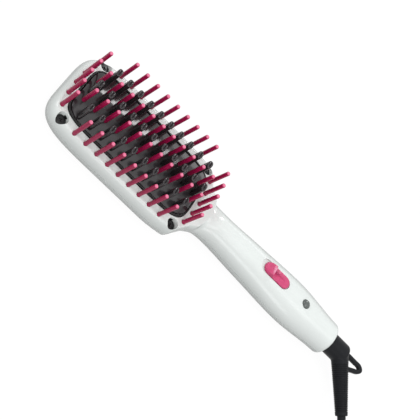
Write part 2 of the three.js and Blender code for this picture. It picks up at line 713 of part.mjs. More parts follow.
function blade(x, y, rise) {
  const base = RIM_Z - BLADE_ROOT;
  const tip = RIM_Z + rise;
  const geometry = turned(
    [
      [0, base],
      [1, base],
      [BLADE_TIP_SHARE, tip - 0.9],
      [0, tip],
    ],
    6,
  );
  geometry.scale(BLADE_THICKNESS / 2, BLADE_WIDTH / 2, 1);
  geometry.translate(x, y, 0);
  return solidOf(geometry);
}

function heatingPlate() {
  const half = PLATE_WIDTH / 2 + 1;
  const crown = Array.from({ length: CROWN_STEPS + 1 }, (_, i) => {
    const y = half - (2 * half * i) / CROWN_STEPS;
    return new THREE.Vector2(y, crownHeight(y));
  });
  const back = [-half, half].map((y) => new THREE.Vector2(y, PLATE_BACK_Z));
  const profile = new THREE.Shape([...back, ...crown]);
  const arch = new THREE.ExtrudeGeometry(profile, { depth: PLATE_LENGTH + 2, bevelEnabled: false });
  arch.rotateX(Math.PI / 2);
  arch.rotateZ(Math.PI / 2);
  arch.translate(-PLATE_LENGTH / 2 - 1, 0, 0);
  const outline = plateOutline(PLATE_LENGTH, PLATE_WIDTH);
  const slab = prism(outline, [PLATE_BACK_Z, PLATE_TOP_Z]).intersect(solidOf(arch));
  const bladeRows = [];
  for (let i = 0; i < SIDE_BLADE_COUNT; i++) {
    const x = (i - (SIDE_BLADE_COUNT - 1) / 2) * TOOTH_PITCH;
    bladeRows.push(blade(x, SIDE_BLADE_Y, SIDE_BLADE_RISE), blade(x, -SIDE_BLADE_Y, SIDE_BLADE_RISE));
  }
  for (const [x] of innerPinPlaces(1)) bladeRows.push(blade(x, 0, MIDDLE_BLADE_RISE));
  const bosses = [-CLAMP_SCREW_X, CLAMP_SCREW_X].map((x) =>
    post(x, 0, CLAMP_BOSS_DIAMETER, [CLAMP_Z + CLAMP_DEPTH + GAP, PLATE_BACK_Z + 1]),
  );
  const pinPlaces = [...innerPinPlaces(1), ...innerPinPlaces(-1)];
  const holes = pinPlaces.map(([x, y]) => pinHole(x, y, [PLATE_BACK_Z - 1, PLATE_TOP_Z]));
  const pilots = [-CLAMP_SCREW_X, CLAMP_SCREW_X].map((x) =>
    post(x, 0, CLAMP_SCREW_DIAMETER + 2 * GAP, [CLAMP_Z, PLATE_BACK_Z - GAP], 10),
  );
  return cut(joined([slab, ...bladeRows, ...bosses]), [...holes, ...pilots]);
}

function leadSlot(y) {
  const half = LEAD_DIAMETER / 2 + GAP;
  return block([HEATER_REACH + GAP, FAR], [y - half, y + half], [LEAD_Z - half, LEAD_Z + half]);
}

function plateTray() {
  const ring = (grow, z) => prism(plateOutline(LIP_LENGTH + 2 * grow, LIP_WIDTH + 2 * grow), z);
  const ledge = PLATE_BACK_Z - GAP;
  const shell = joined([
    ring(0, [TRAY_FLOOR_Z, RIM_Z + LIP_RISE]),
    ring(TRAY_FLANGE, [SHELL_BACK_Z - GAP - TRAY_FLANGE_DEPTH, SHELL_BACK_Z - GAP]),
  ]);
  const hollow = cut(shell, [
    ring(-TRAY_WALL, [TRAY_FLOOR_Z + TRAY_FLOOR, RIM_Z + 5]),
    ring(-LIP_WALL, [ledge, RIM_Z + 5]),
    ...[-1, 1].map((side) => leadSlot(side * HEATER_LEAD_Y)),
    ...screwPlaces.map(([, x, y]) => post(x, y, BOSS_DIAMETER + 2 * GAP, [FRONT_BOSS_Z, SHELL_BACK_Z])),
  ]);
  const half = TRAY_POST_SIZE / 2;
  const posts = [-1.5, -0.5, 0.5, 1.5].flatMap((share) =>
    [1, -1].map((side) => {
      const [x, y] = [share * TRAY_POST_SPACING, side * INNER_PIN_Y];
      return block([x - half, x + half], [y - half, y + half], [TRAY_FLOOR_Z + 1, STRIP_Z - GAP]);
    }),
  );
  return joined([hollow, ...posts]);
}

// Pins
function innerPinStrip(side) {
  const y = side * INNER_PIN_Y;
  const places = innerPinPlaces(side);
  const reach = places.at(-1)[0] + 2;
  const strip = block(
    [-reach, reach],
    [y - INNER_STRIP_WIDTH / 2, y + INNER_STRIP_WIDTH / 2],
    [STRIP_Z, STRIP_Z + INNER_STRIP_DEPTH],
  );
  return joined([strip, ...places.map(([x, py]) => pin(x, py, STRIP_Z + 0.5))]);
}

// A straight bar under a side row
function sidePins(side) {
  const places = sidePinPlaces(side);
  const reach = places.at(-1)[0] + PIN_BAR_WIDTH / 2;
  const middle = OUTER_PIN_Y - PIN_BAR_SHIFT;
  const y = [side * middle - PIN_BAR_WIDTH / 2, side * middle + PIN_BAR_WIDTH / 2];
  const bar = block([-reach, reach], y, [PIN_BAR_Z, PIN_BAR_Z + PIN_BAR_DEPTH]);
  return joined([bar, ...places.map(([x, py]) => pin(x, py, PIN_BAR_Z + 0.5))]);
}

// A bowed bar under an end row
function endPins(side) {
  const places = endPinPlaces(side);
  const reach = END_PIN_REACH + PIN_BAR_WIDTH / 2;
  const edge = (shift) =>
    [-1, -0.5, 0, 0.5, 1].map((share) => {
      const y = share * reach;
      return new THREE.Vector2(endRowX(side, y) + side * (shift - END_BAR_SHIFT), y);
    });
  const outline = [...edge(PIN_BAR_WIDTH / 2), ...edge(-PIN_BAR_WIDTH / 2).toReversed()];
  const bar = prism(outline, [PIN_BAR_Z, PIN_BAR_Z + PIN_BAR_DEPTH]);
  return joined([bar, ...places.map(([x, y]) => pin(x, y, PIN_BAR_Z + 0.5))]);
}

// Heating parts between plate and tray
function heater(side) {
  const start = HEATER_SPACING / 2;
  const x = side > 0 ? [start, start + HEATER_LENGTH] : [-start - HEATER_LENGTH, -start];
  return block(x, [-HEATER_WIDTH / 2, HEATER_WIDTH / 2], [HEATER_Z, HEATER_Z + HEATER_DEPTH]);
}

function micaSheet() {
  const reach = HEATER_REACH;
  return block([-reach, reach], [-HEATER_WIDTH / 2, HEATER_WIDTH / 2], [MICA_Z, MICA_Z + MICA_DEPTH]);
}

function heaterClamp() {
  const reach = HEATER_REACH;
  const z = [CLAMP_Z, CLAMP_Z + CLAMP_DEPTH];
  const bar = block([-reach, reach], [-HEATER_WIDTH / 2, HEATER_WIDTH / 2], z);
  const tabHalf = CLAMP_TAB_WIDTH / 2;
  const tab = block([-CLAMP_SCREW_X - tabHalf, CLAMP_SCREW_X + tabHalf], [-tabHalf, tabHalf], z);
  const holes = [-CLAMP_SCREW_X, CLAMP_SCREW_X].map((x) =>
    post(x, 0, CLAMP_SCREW_DIAMETER + 2 * GAP, [z[0] - 1, z[1] + 1], 10),
  );
  return cut(joined([bar, tab]), holes);
}

function clampScrew(x) {
  const top = CLAMP_SCREW_TOP_Z;
  const shank = post(x, 0, CLAMP_SCREW_DIAMETER, [top - 1, PLATE_BACK_Z - 2 * GAP], 10);
  const head = post(x, 0, CLAMP_SCREW_HEAD_DIAMETER, [top - CLAMP_SCREW_HEAD_DEPTH, top], 14);
  return joined([head, shank]);
}

// Beside the heaters, between a row of inner pins and the tray's wall
function thermostat() {
  const top = PLATE_BACK_Z - GAP;
  const [halfLength, halfWidth] = [THERMOSTAT_LENGTH / 2, THERMOSTAT_WIDTH / 2];
  return block(
    [THERMOSTAT_X - halfLength, THERMOSTAT_X + halfLength],
    [SIDE_BAY_Y - halfWidth, SIDE_BAY_Y + halfWidth],
    [top - THERMOSTAT_DEPTH, top],
  );
}

function thermalFuse() {
  const radius = FUSE_DIAMETER / 2;
  const geometry = new THREE.CylinderGeometry(radius, radius, FUSE_LENGTH, 14);
  geometry.rotateZ(Math.PI / 2);
  geometry.translate(FUSE_X, -SIDE_BAY_Y, PLATE_BACK_Z - GAP - radius);
  return solidOf(geometry);
}

// Screws
function headScrew(x, y) {
  const seat = RECESS_Z + GAP;
  const top = seat + SCREW_HEAD_DEPTH;
  const head = post(x, y, SCREW_HEAD_DIAMETER, [seat, top], 18);
  const shank = post(x, y, SCREW_DIAMETER, [RECESS_Z - SCREW_LENGTH, seat + 0.5], 10);
  const slots = [
    block([x - 1.7, x + 1.7], [y - 0.4, y + 0.4], [top - 0.9, top + 1]),
    block([x - 0.4, x + 0.4], [y - 1.7, y + 1.7], [top - 0.9, top + 1]),
  ];
  return cut(joined([head, shank]), slots);
}

// Switch, board and indicator
function switchKnob() {
  const crest = GRIP_TOP_Z + KNOB_RISE;
  const foot = SLOT_FLOOR_Z + GAP;
  const bevel = 0.8;
  const shape = new THREE.Shape(stadium(KNOB_X, KNOB_LENGTH - 2 * bevel, KNOB_WIDTH - 2 * bevel));
  const cap = new THREE.ExtrudeGeometry(shape, {
    depth: crest - foot - bevel,
    bevelSize: bevel,
    bevelThickness: bevel,
    bevelSegments: 2,
  });
  cap.translate(0, 0, foot);
  const capSolid = solidOf(cap).intersect(block([-FAR, FAR], [-FAR, FAR], [foot, FAR]));
  const start = KNOB_X - KNOB_LENGTH / 2;
  const hump = new THREE.Shape([
    new THREE.Vector2(start + 0.6, crest - 1),
    new THREE.Vector2(start + 9.6, crest - 1),
    new THREE.Vector2(start + 8.6, crest + 0.3),
    new THREE.Vector2(start + 6.6, crest + KNOB_RIDGE_RISE - 1.3),
    new THREE.Vector2(start + 5.2, crest + KNOB_RIDGE_RISE - 1),
    new THREE.Vector2(start + 3.4, crest + KNOB_RIDGE_RISE - 1.5),
    new THREE.Vector2(start + 1.2, crest - 0.2),
  ]);
  const ridge = new THREE.ExtrudeGeometry(hump, { depth: KNOB_WIDTH - 1, bevelEnabled: false });
  ridge.rotateX(Math.PI / 2);
  ridge.translate(0, (KNOB_WIDTH - 1) / 2, 0);
  const inside = prism(stadium(KNOB_X, KNOB_LENGTH - 0.8, KNOB_WIDTH - 0.8), [foot, FAR]);
  const trimmed = solidOf(ridge).intersect(inside);
  const stemX = [KNOB_X - KNOB_STEM_LENGTH / 2, KNOB_X + KNOB_STEM_LENGTH / 2];
  const stemBase = SWITCH_TOP_Z + GAP;
  const stem = block(stemX, [-KNOB_STEM_WIDTH / 2, KNOB_STEM_WIDTH / 2], [stemBase, foot + 1]);
  const keeperTop = SLOT_BACK_Z - GAP;
  const keeper = block([stemX[0] - 1.5, stemX[1] + 1.5], [-4.1, 4.1], [keeperTop - KEEPER_DEPTH, keeperTop]);
  const pocket = block(
    [KNOB_X - SLIDER_LENGTH / 2 - GAP, KNOB_X + SLIDER_LENGTH / 2 + GAP],
    [-SLIDER_WIDTH / 2 - GAP, SLIDER_WIDTH / 2 + GAP],
    [stemBase - 1, SWITCH_TOP_Z + 1.5 + GAP],
  );
  return cut(joined([capSolid, trimmed, stem, keeper]), [pocket]);
}

const switchX = KNOB_X - KNOB_TRAVEL / 2;
const SLIDER_SEAT = 1.4;

function switchBody() {
  const body = block(
    [switchX - SWITCH_LENGTH / 2, switchX + SWITCH_LENGTH / 2],
    [-SWITCH_WIDTH / 2, SWITCH_WIDTH / 2],
    [SWITCH_Z, SWITCH_TOP_Z],
  );
  const run = (SLIDER_LENGTH + KNOB_TRAVEL) / 2 + GAP;
  const channel = block(
    [switchX - run, switchX + run],
    [-SLIDER_WIDTH / 2 - GAP, SLIDER_WIDTH / 2 + GAP],
    [SWITCH_TOP_Z - SLIDER_SEAT, FAR],
  );
  return cut(body, [channel]);
}

function switchSlider() {
  return block(
    [KNOB_X - SLIDER_LENGTH / 2, KNOB_X + SLIDER_LENGTH / 2],
    [-SLIDER_WIDTH / 2, SLIDER_WIDTH / 2],
    [SWITCH_TOP_Z - SLIDER_SEAT + GAP, SWITCH_TOP_Z + 1.5],
  );
}

function controlBoard() {
  const x = [BOARD_START_X, BOARD_START_X + BOARD_LENGTH];
  return block(x, [-BOARD_WIDTH / 2, BOARD_WIDTH / 2], [BOARD_Z, BOARD_TOP_Z]);
}

function dropCapacitor() {
  const middle = (switchX + SWITCH_LENGTH / 2 + LENS_X - LED_DIAMETER / 2) / 2;
  const z = BOARD_TOP_Z + GAP;
  return block(
    [middle - CAPACITOR_LENGTH / 2, middle + CAPACITOR_LENGTH / 2],
    [-CAPACITOR_WIDTH / 2, CAPACITOR_WIDTH / 2],
    [z, z + CAPACITOR_HEIGHT],
  );
}

const LENS_SEAT_Z = GRIP_TOP_Z - WALL - 1.2;
const LENS_BACK_Z = LENS_SEAT_Z - 0.6;

function indicatorLens() {
  const radius = LENS_DIAMETER / 2;
  const top = GRIP_TOP_Z + LENS_RISE;
  const profile = [
    [0, LENS_BACK_Z],
    [radius + 0.9, LENS_BACK_Z],
    [radius + 0.9, LENS_SEAT_Z],
    [radius, LENS_SEAT_Z],
    [radius, top - 1.4],
    [0.75 * radius, top - 0.45],
    [0, top],
  ];
  const geometry = turned(profile, 16);
  geometry.translate(LENS_X, 0, 0);
  return solidOf(geometry);
}

function indicatorLed() {
  const top = LENS_BACK_Z - GAP;
  const radius = LED_DIAMETER / 2;
  const base = top - LED_LENGTH;
  const bulb = turned(
    [
      [0, base],
      [radius + 0.4, base],
      [radius + 0.4, base + 0.8],
      [radius, base + 0.8],
      [radius, top - 1.6],
      [0.7 * radius, top - 0.5],
      [0, top],
    ],
    12,
  );
  bulb.translate(LENS_X, 0, 0);
  const legs = [-1.27, 1.27].map((y) =>
    block([LENS_X - 0.3, LENS_X + 0.3], [y - 0.3, y + 0.3], [BOARD_TOP_Z + GAP, base + 0.4]),
  );
  return joined([solidOf(bulb), ...legs]);
}

// Swivel
const cordDirection = new THREE.Vector3(Math.cos(CORD_ANGLE), Math.sin(CORD_ANGLE), 0);
const bend = new THREE.Vector3(BEND_X, 0, AXIS_Z);

function sleeve() {
  const start = -5;
  const taper = (along) => {
    const share = Math.max(along, 0) / SLEEVE_LENGTH;
    return THREE.MathUtils.lerp(SLEEVE_DIAMETER, SLEEVE_END_DIAMETER, share) / 2;
  };
  const profile = [
    [0, start],
    [0.8 * taper(0), start],
    [taper(0), start + 1.5],
    [taper(RIB_START), RIB_START],
  ];
  for (let along = RIB_START; along + RIB_PITCH < SLEEVE_LENGTH - 2; along += RIB_PITCH) {
    profile.push([taper(along) - RIB_CUT, along + 0.35 * RIB_PITCH]);
    profile.push([taper(along + RIB_PITCH), along + 0.75 * RIB_PITCH]);
  }
  const endRadius = taper(SLEEVE_LENGTH);
  profile.push([endRadius, SLEEVE_LENGTH - 0.4], [endRadius - 0.4, SLEEVE_LENGTH], [0, SLEEVE_LENGTH]);
  const geometry = turned(profile, 10);
  geometry.rotateY(Math.PI / 2);
  geometry.rotateZ(CORD_ANGLE);
  geometry.translate(bend.x, bend.y, bend.z);
  return solidOf(geometry);
}

// The hanging loop's middle line, from the elbow's outside round to the sleeve
const LOOP_LINE = [
  [4.5, 3.2],
  [10, 3.2],
  [15, 3.1],
  [20.0, 2.9],
  [22.0, 1.0],
  [20.2, -1.4],
  [16.5, -3.2],
  [12.5, -5.2],
  [8.5, -7.4],
];

function cordSwivel() {
  const collarEnd = BEND_X + 3.6;
  const collar = joined([
    drum([BUSH_END_X + RUNNING_GAP, collarEnd - 1.2], COLLAR_DIAMETER),
    drum([collarEnd - 1.5, collarEnd], COLLAR_DIAMETER - 2.2),
  ]);
  const neck = drum([FLANGE_START_X + 1, BUSH_END_X + 1], SWIVEL_NECK_DIAMETER);
  const flange = drum([FLANGE_START_X, FLANGE_START_X + SWIVEL_FLANGE_DEPTH], SWIVEL_FLANGE_DIAMETER);
  const hub = drum([HUB_START_X, FLANGE_START_X + 1], HUB_DIAMETER, 16);
  const loopPoints = LOOP_LINE.map(([dx, y]) => [BEND_X + dx, y, AXIS_Z]);
  const loop = swept(loopPoints, LOOP_STRAP_HEIGHT * 1.08, LOOP_STRAP * 1.08, 18, 8);
  return joined([collar, neck, flange, hub, sleeve(), loop]);
}

function ringSpan(index) {
  const start = HUB_START_X + SLIP_RING_WIDTH + 2 * index * SLIP_RING_WIDTH;
  return [start, start + SLIP_RING_WIDTH];
}

function slipRing(index) {
  const x = ringSpan(index);
  return drum(x, SLIP_RING_DIAMETER, 18).subtract(drum([x[0] - 1, x[1] + 1], HUB_DIAMETER + 2 * GAP, 16));
}

function swivelBush() {
  const whole = drum([BUSH_START_X, BUSH_END_X], BUSH_DIAMETER);
  const middle = (BUSH_START_X + BUSH_END_X) / 2;
  const groove = [middle - RIB_DEPTH / 2 - GAP, middle + RIB_DEPTH / 2 + GAP];
  const grooveCut = drum(groove, BUSH_DIAMETER + 4).subtract(
    drum([groove[0] - 1, groove[1] + 1], BUSH_DIAMETER - 2 * BUSH_GROOVE),
  );
  const bore = drum([BUSH_START_X - 1, BUSH_END_X + 1], SWIVEL_NECK_DIAMETER + 2 * RUNNING_GAP);
  return cut(whole, [grooveCut, bore]);
}

const BLOCK_TOP_Z = AXIS_Z - SLIP_RING_DIAMETER / 2 - 2 * GAP;

function contactBlock() {
  const x = [HUB_START_X - 1, FLANGE_START_X - 2 * GAP];
  const whole = block(x, [-CONTACT_BLOCK_WIDTH / 2, CONTACT_BLOCK_WIDTH / 2], [0, BLOCK_TOP_Z]);
  return whole.intersect(innerBody(WALL + GAP));
}

const BRUSH_Y = SLIP_RING_DIAMETER / 2 + GAP;

function contactBrush(index) {
  const y = index === 0 ? [BRUSH_Y, BRUSH_Y + BRUSH_DEPTH] : [-BRUSH_Y - BRUSH_DEPTH, -BRUSH_Y];
  return block(ringSpan(index), y, [BLOCK_TOP_Z + GAP, AXIS_Z + BRUSH_RISE]);
}

// Wires inside

function heaterLead(side) {
  const y = side * HEATER_LEAD_Y;
  const line = [
    [HEATER_REACH + GAP, y, LEAD_Z],
    [SHOULDER_X, y, LEAD_Z],
    [NECK_X, y * 0.9, LEAD_Z - 0.6],
    [BOARD_START_X - 4, y, BOARD_LEAD_Z],
    [BOARD_START_X + 3.8, y, BOARD_LEAD_Z],
  ];
  return swept(line, LEAD_DIAMETER, LEAD_DIAMETER, 10, 6);
}

function supplyLead(index) {
  const side = index === 0 ? 1 : -1;
  const [, brushEnd] = ringSpan(index);
  const boardEnd = BOARD_START_X + BOARD_LENGTH;
  const y = side * (BRUSH_Y + BRUSH_DEPTH + GAP + LEAD_DIAMETER / 2);
  const line = [
    [boardEnd - 4.5, side * 5.6, BOARD_LEAD_Z],
    [boardEnd, side * 5.9, BOARD_LEAD_Z],
    [brushEnd - 4, y, AXIS_Z + 1.3],
    [brushEnd, y, AXIS_Z + 0.4],
  ];
  return swept(line, LEAD_DIAMETER, LEAD_DIAMETER, 8, 6);
}

// Cord: from the sleeve down to the floor, along it and into a coil that ends on top of itself at the plug
const CORD_Z = CORD_DIAMETER / 2 + FLOOR_GAP + TIE_WALL + GAP;
const sleeveEnd = bend.clone().addScaledVector(cordDirection, SLEEVE_LENGTH + GAP);
const layerTurns = COIL_TURNS / COIL_LAYERS;
const coilOuter = COIL_RADIUS + (layerTurns * LAY_PITCH) / 2;

// A point of the coil after some turns: in and out again at a steady rate, up a layer where it turns back
function coilPoint(turns) {
  const layer = Math.min(Math.floor(turns / layerTurns), COIL_LAYERS - 1);
  const inLayer = turns - layer * layerTurns;
  const drawnIn = LAY_PITCH * (layer % 2 === 0 ? inLayer : layerTurns - inLayer);
  let height = CORD_Z;
  for (let k = 1; k < COIL_LAYERS; k++) {
    height += LAY_PITCH * eased(k * layerTurns - 0.25, 0.5, turns);
  }
  const angle = THREE.MathUtils.degToRad(COIL_START + 360 * turns);
  const radius = coilOuter - drawnIn;
  return new THREE.Vector3(COIL_X + radius * Math.cos(angle), COIL_Y + radius * Math.sin(angle), height);
}

const coilStart = coilPoint(0);

function cordFree() {
  const lead = sleeveEnd.clone().addScaledVector(cordDirection, CORD_DIAMETER);
  const stop = coilStart.clone().add(new THREE.Vector3(-CORD_DIAMETER - GAP, 0, 0));
  const straight = stop.clone().add(new THREE.Vector3(-CORD_DIAMETER, 0, 0));
  const run = new THREE.CubicBezierCurve3(
    lead,
    lead.clone().addScaledVector(cordDirection, CORD_RUN_OUT),
    straight.clone().add(new THREE.Vector3(-CORD_RUN_IN, 0, 0)),
    straight,
  );
  return new THREE.CatmullRomCurve3([sleeveEnd, ...run.getPoints(8), stop], false, "centripetal");
}

// Last lay: up onto the top layer and in towards the plug
const PLUG_ANGLE = 315;
const PLUG_RADIUS = COIL_RADIUS - 1.5;
const PLUG_Z = CORD_Z + (COIL_LAYERS - 1) * LAY_PITCH + CORD_DIAMETER / 2 + 0.6 + PLUG_DEPTH / 2;

function plugFrame() {
  const angle = THREE.MathUtils.degToRad(PLUG_ANGLE);
  const along = new THREE.Vector3(-Math.sin(angle), Math.cos(angle), 0);
  const middle = new THREE.Vector3(PLUG_RADIUS * Math.cos(angle), PLUG_RADIUS * Math.sin(angle), PLUG_Z);
  middle.add(new THREE.Vector3(COIL_X, COIL_Y, 0));
  return { along, middle, back: middle.clone().addScaledVector(along, -PLUG_LENGTH / 2) };
}

function coilLine() {
  const points = [];
  const first = coilPoint(0);
  points.push(first.clone().add(new THREE.Vector3(-CORD_DIAMETER, 0, 0)));
  const count = Math.round(COIL_TURNS * COIL_STEPS);
  for (let i = 0; i <= count; i++) points.push(coilPoint((COIL_TURNS * i) / count));
  const { along, back } = plugFrame();
  const end = points.at(-1);
  const heading = end.clone().sub(points.at(-2)).normalize();
  const stop = back.clone().addScaledVector(along, -GAP - CORD_DIAMETER);
  const reach = end.distanceTo(stop) * 0.42;
  const climb = new THREE.CubicBezierCurve3(
    end,
    end.clone().addScaledVector(heading, reach),
    stop.clone().addScaledVector(along, -reach),
    stop,
  );
  points.push(...climb.getPoints(9).slice(1));
  points.push(back.clone().addScaledVector(along, -GAP));
  return points;
}

// A tube of sides round each point of a line, closed at both ends
function tubeAlong(points, radius, sides) {
  const up = new THREE.Vector3(0, 0, 1);
  const loops = points.map((point, i) => {
    const ahead = points[Math.min(i + 1, points.length - 1)];
    const behind = points[Math.max(i - 1, 0)];
    const tangent = ahead.clone().sub(behind).normalize();
    const across = up.clone().cross(tangent).normalize();
    const over = tangent.clone().cross(across);
    return Array.from({ length: sides }, (_, k) => {
      const angle = (2 * Math.PI * (k + 0.5)) / sides;
      return point
        .clone()
        .addScaledVector(across, radius * Math.cos(angle))
        .addScaledVector(over, radius * Math.sin(angle));
    });
  });
  return lofted(loops);
}

function leastGap(points, radius) {
  let least = Infinity;
  const apart = Math.ceil((4 * radius) / points[3].distanceTo(points[4])) + 2;
  for (let i = 0; i < points.length; i++) {
    for (let j = i + apart; j < points.length; j++) {
      least = Math.min(least, segmentGap(points, i, j));
    }
  }
  return least - 2 * radius;
}

function segmentGap(points, i, j) {
  if (i + 1 >= points.length || j + 1 >= points.length) return points[i].distanceTo(points[j]);
  const [a, b] = [new THREE.Line3(points[i], points[i + 1]), new THREE.Line3(points[j], points[j + 1])];
  let least = Infinity;
  for (const t of [0, 0.25, 0.5, 0.75]) {
    const onA = a.at(t, new THREE.Vector3());
    least = Math.min(least, onA.distanceTo(b.closestPointToPoint(onA, true, new THREE.Vector3())));
  }
  return least;
}

const coilPoints = coilLine();
console.log("least gap of the coil to itself, mm:", leastGap(coilPoints, CORD_DIAMETER / 2).toFixed(2));

function cordTie() {
  const inside = coilOuter - layerTurns * LAY_PITCH - CORD_DIAMETER / 2 - TIE_SLACK;
  const outside = coilOuter + CORD_DIAMETER / 2 + GAP;
  const top = CORD_Z + (COIL_LAYERS - 1) * LAY_PITCH + CORD_DIAMETER / 2 + GAP;
  const half = TIE_WIDTH / 2;
  const band = block([inside - TIE_WALL, outside + TIE_WALL], [-half, half], [FLOOR_GAP, top + TIE_WALL]);
  const bore = block([inside, outside], [-half - 1, half + 1], [FLOOR_GAP + TIE_WALL, top]);
  return band.subtract(bore).rotate([0, 0, TIE_ANGLE]).translate([COIL_X, COIL_Y, 0]);
}

// Plug
function plugPlaced(geometry) {
  const { along, middle } = plugFrame();
  geometry.rotateZ(Math.atan2(along.y, along.x));
  geometry.translate(middle.x, middle.y, middle.z);
  return solidOf(geometry);
}

function plugBody() {
  const half = PLUG_WIDTH / 2;
  const outline = new THREE.Shape([
    new THREE.Vector2(-PLUG_LENGTH / 2, -4.2),
    new THREE.Vector2(-PLUG_LENGTH / 2 + 11, -5.2),
    new THREE.Vector2(-PLUG_LENGTH / 2 + 15, -half + 1),
    new THREE.Vector2(-PLUG_LENGTH / 2 + 18, -half),
    new THREE.Vector2(PLUG_LENGTH / 2, -half),
    new THREE.Vector2(PLUG_LENGTH / 2, half),
    new THREE.Vector2(-PLUG_LENGTH / 2 + 18, half),
    new THREE.Vector2(-PLUG_LENGTH / 2 + 15, half - 1),
    new THREE.Vector2(-PLUG_LENGTH / 2 + 11, 5.2),
    new THREE.Vector2(-PLUG_LENGTH / 2, 4.2),
  ]);
  const geometry = new THREE.ExtrudeGeometry(outline, { depth: PLUG_DEPTH, bevelEnabled: false });
  geometry.translate(0, 0, -PLUG_DEPTH / 2);
  return plugPlaced(geometry);
}

function plugBlade(side) {
  const geometry = new THREE.BoxGeometry(BLADE_PIN_LENGTH, BLADE_PIN_DEPTH, BLADE_PIN_WIDTH);
  geometry.translate(PLUG_LENGTH / 2 + GAP + BLADE_PIN_LENGTH / 2, (side * BLADE_PIN_SPACING) / 2, 0);
  return plugPlaced(geometry);
}

// Finishes
const finish = (color, roughness, metalness = 0) => ({ color, roughness, metalness });
const WHITE = finish(0xe9efec, 0.22);
const BLACK_GLOSS = finish(0x2a2629, 0.2);
const BLACK = finish(0x232427, 0.55);
const PINK = finish(0xa8154b, 0.35);
const SWITCH_PINK = finish(0xe0457c, 0.35);
const STEEL = finish(0xb9bcc0, 0.35, 1);
const DARK_STEEL = finish(0x1a1a1c, 0.4, 0.8);
const BRASS = finish(0xc8a24a, 0.3, 1);
const CERAMIC = finish(0xd9d2c3, 0.6);
const BOARD_GREEN = finish(0x1f5a3a, 0.5);
const NATURAL = finish(0xd8d4c8, 0.5);

const group = new THREE.Group();

function place(name, solid, look) {
  const mesh = new THREE.Mesh(geometryOf(solid), new THREE.MeshStandardMaterial(look));
  mesh.name = name;
  group.add(mesh);
}

place("front_shell", frontShell(), WHITE);
place("rear_shell", rearShell(), WHITE);
place("heating_plate", heatingPlate(), BLACK_GLOSS);
place("plate_tray", plateTray(), BLACK);
place("outer_pins_left", sidePins(-1), PINK);
place("outer_pins_right", sidePins(1), PINK);
place("outer_pins_far", endPins(-1), PINK);
place("outer_pins_near", endPins(1), PINK);
place("inner_pin_strip_left", innerPinStrip(-1), PINK);
place("inner_pin_strip_right", innerPinStrip(1), PINK);
place("heater_far", heater(-1), CERAMIC);
place("heater_near", heater(1), CERAMIC);
place("mica_sheet", micaSheet(), NATURAL);
place("heater_clamp", heaterClamp(), STEEL);
place("clamp_screw_far", clampScrew(-CLAMP_SCREW_X), STEEL);
place("clamp_screw_near", clampScrew(CLAMP_SCREW_X), STEEL);
place("thermostat", thermostat(), BLACK);
place("thermal_fuse", thermalFuse(), STEEL);
for (const [name, x, y] of screwPlaces) place("head_screw_" + name, headScrew(x, y), DARK_STEEL);
place("switch_knob", switchKnob(), SWITCH_PINK);
place("switch_slider", switchSlider(), BLACK);
place("slide_switch_body", switchBody(), STEEL);
place("control_board", controlBoard(), BOARD_GREEN);
place("drop_capacitor", dropCapacitor(), NATURAL);
place("indicator_lens", indicatorLens(), finish(0x7d8683, 0.2));
place("indicator_led", indicatorLed(), NATURAL);
place("swivel_bush", swivelBush(), NATURAL);
place("cord_swivel", cordSwivel(), BLACK);
place("slip_ring_live", slipRing(0), BRASS);
place("slip_ring_neutral", slipRing(1), BRASS);
place("contact_block", contactBlock(), NATURAL);
place("contact_brush_live", contactBrush(0), BRASS);
place("contact_brush_neutral", contactBrush(1), BRASS);
place("heater_lead_live", heaterLead(-1), finish(0x7a3b1e, 0.5));
place("heater_lead_neutral", heaterLead(1), finish(0x2c4f8f, 0.5));
place("supply_lead_live", supplyLead(0), finish(0x7a3b1e, 0.5));
place("supply_lead_neutral", supplyLead(1), finish(0x2c4f8f, 0.5));
place("cord", solidOf(sweptAlong(cordFree(), CORD_DIAMETER, CORD_DIAMETER, 14, 8)), BLACK);
place("cord_coil", tubeAlong(coilPoints, CORD_DIAMETER / 2, 6), BLACK);
place("cord_tie", cordTie(), BLACK);
place("plug_body", plugBody(), BLACK);
place("plug_blade_left", plugBlade(1), STEEL);
place("plug_blade_right", plugBlade(-1), STEEL);

export default group;
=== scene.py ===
import math

import bmesh
import bpy
from mathutils import Matrix, Vector


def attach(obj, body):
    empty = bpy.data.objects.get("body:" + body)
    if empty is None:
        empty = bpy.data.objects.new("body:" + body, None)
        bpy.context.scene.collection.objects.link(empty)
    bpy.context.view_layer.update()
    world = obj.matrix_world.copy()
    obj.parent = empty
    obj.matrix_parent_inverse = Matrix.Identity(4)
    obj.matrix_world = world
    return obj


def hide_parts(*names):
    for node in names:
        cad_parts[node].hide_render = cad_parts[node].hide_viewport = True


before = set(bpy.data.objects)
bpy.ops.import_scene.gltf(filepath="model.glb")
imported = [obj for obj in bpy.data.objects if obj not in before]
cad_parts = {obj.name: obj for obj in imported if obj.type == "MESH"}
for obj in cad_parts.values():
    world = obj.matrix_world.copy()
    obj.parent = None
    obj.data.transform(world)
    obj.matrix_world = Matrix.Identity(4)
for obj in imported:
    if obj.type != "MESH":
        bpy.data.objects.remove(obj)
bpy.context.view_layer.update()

MM = 0.001

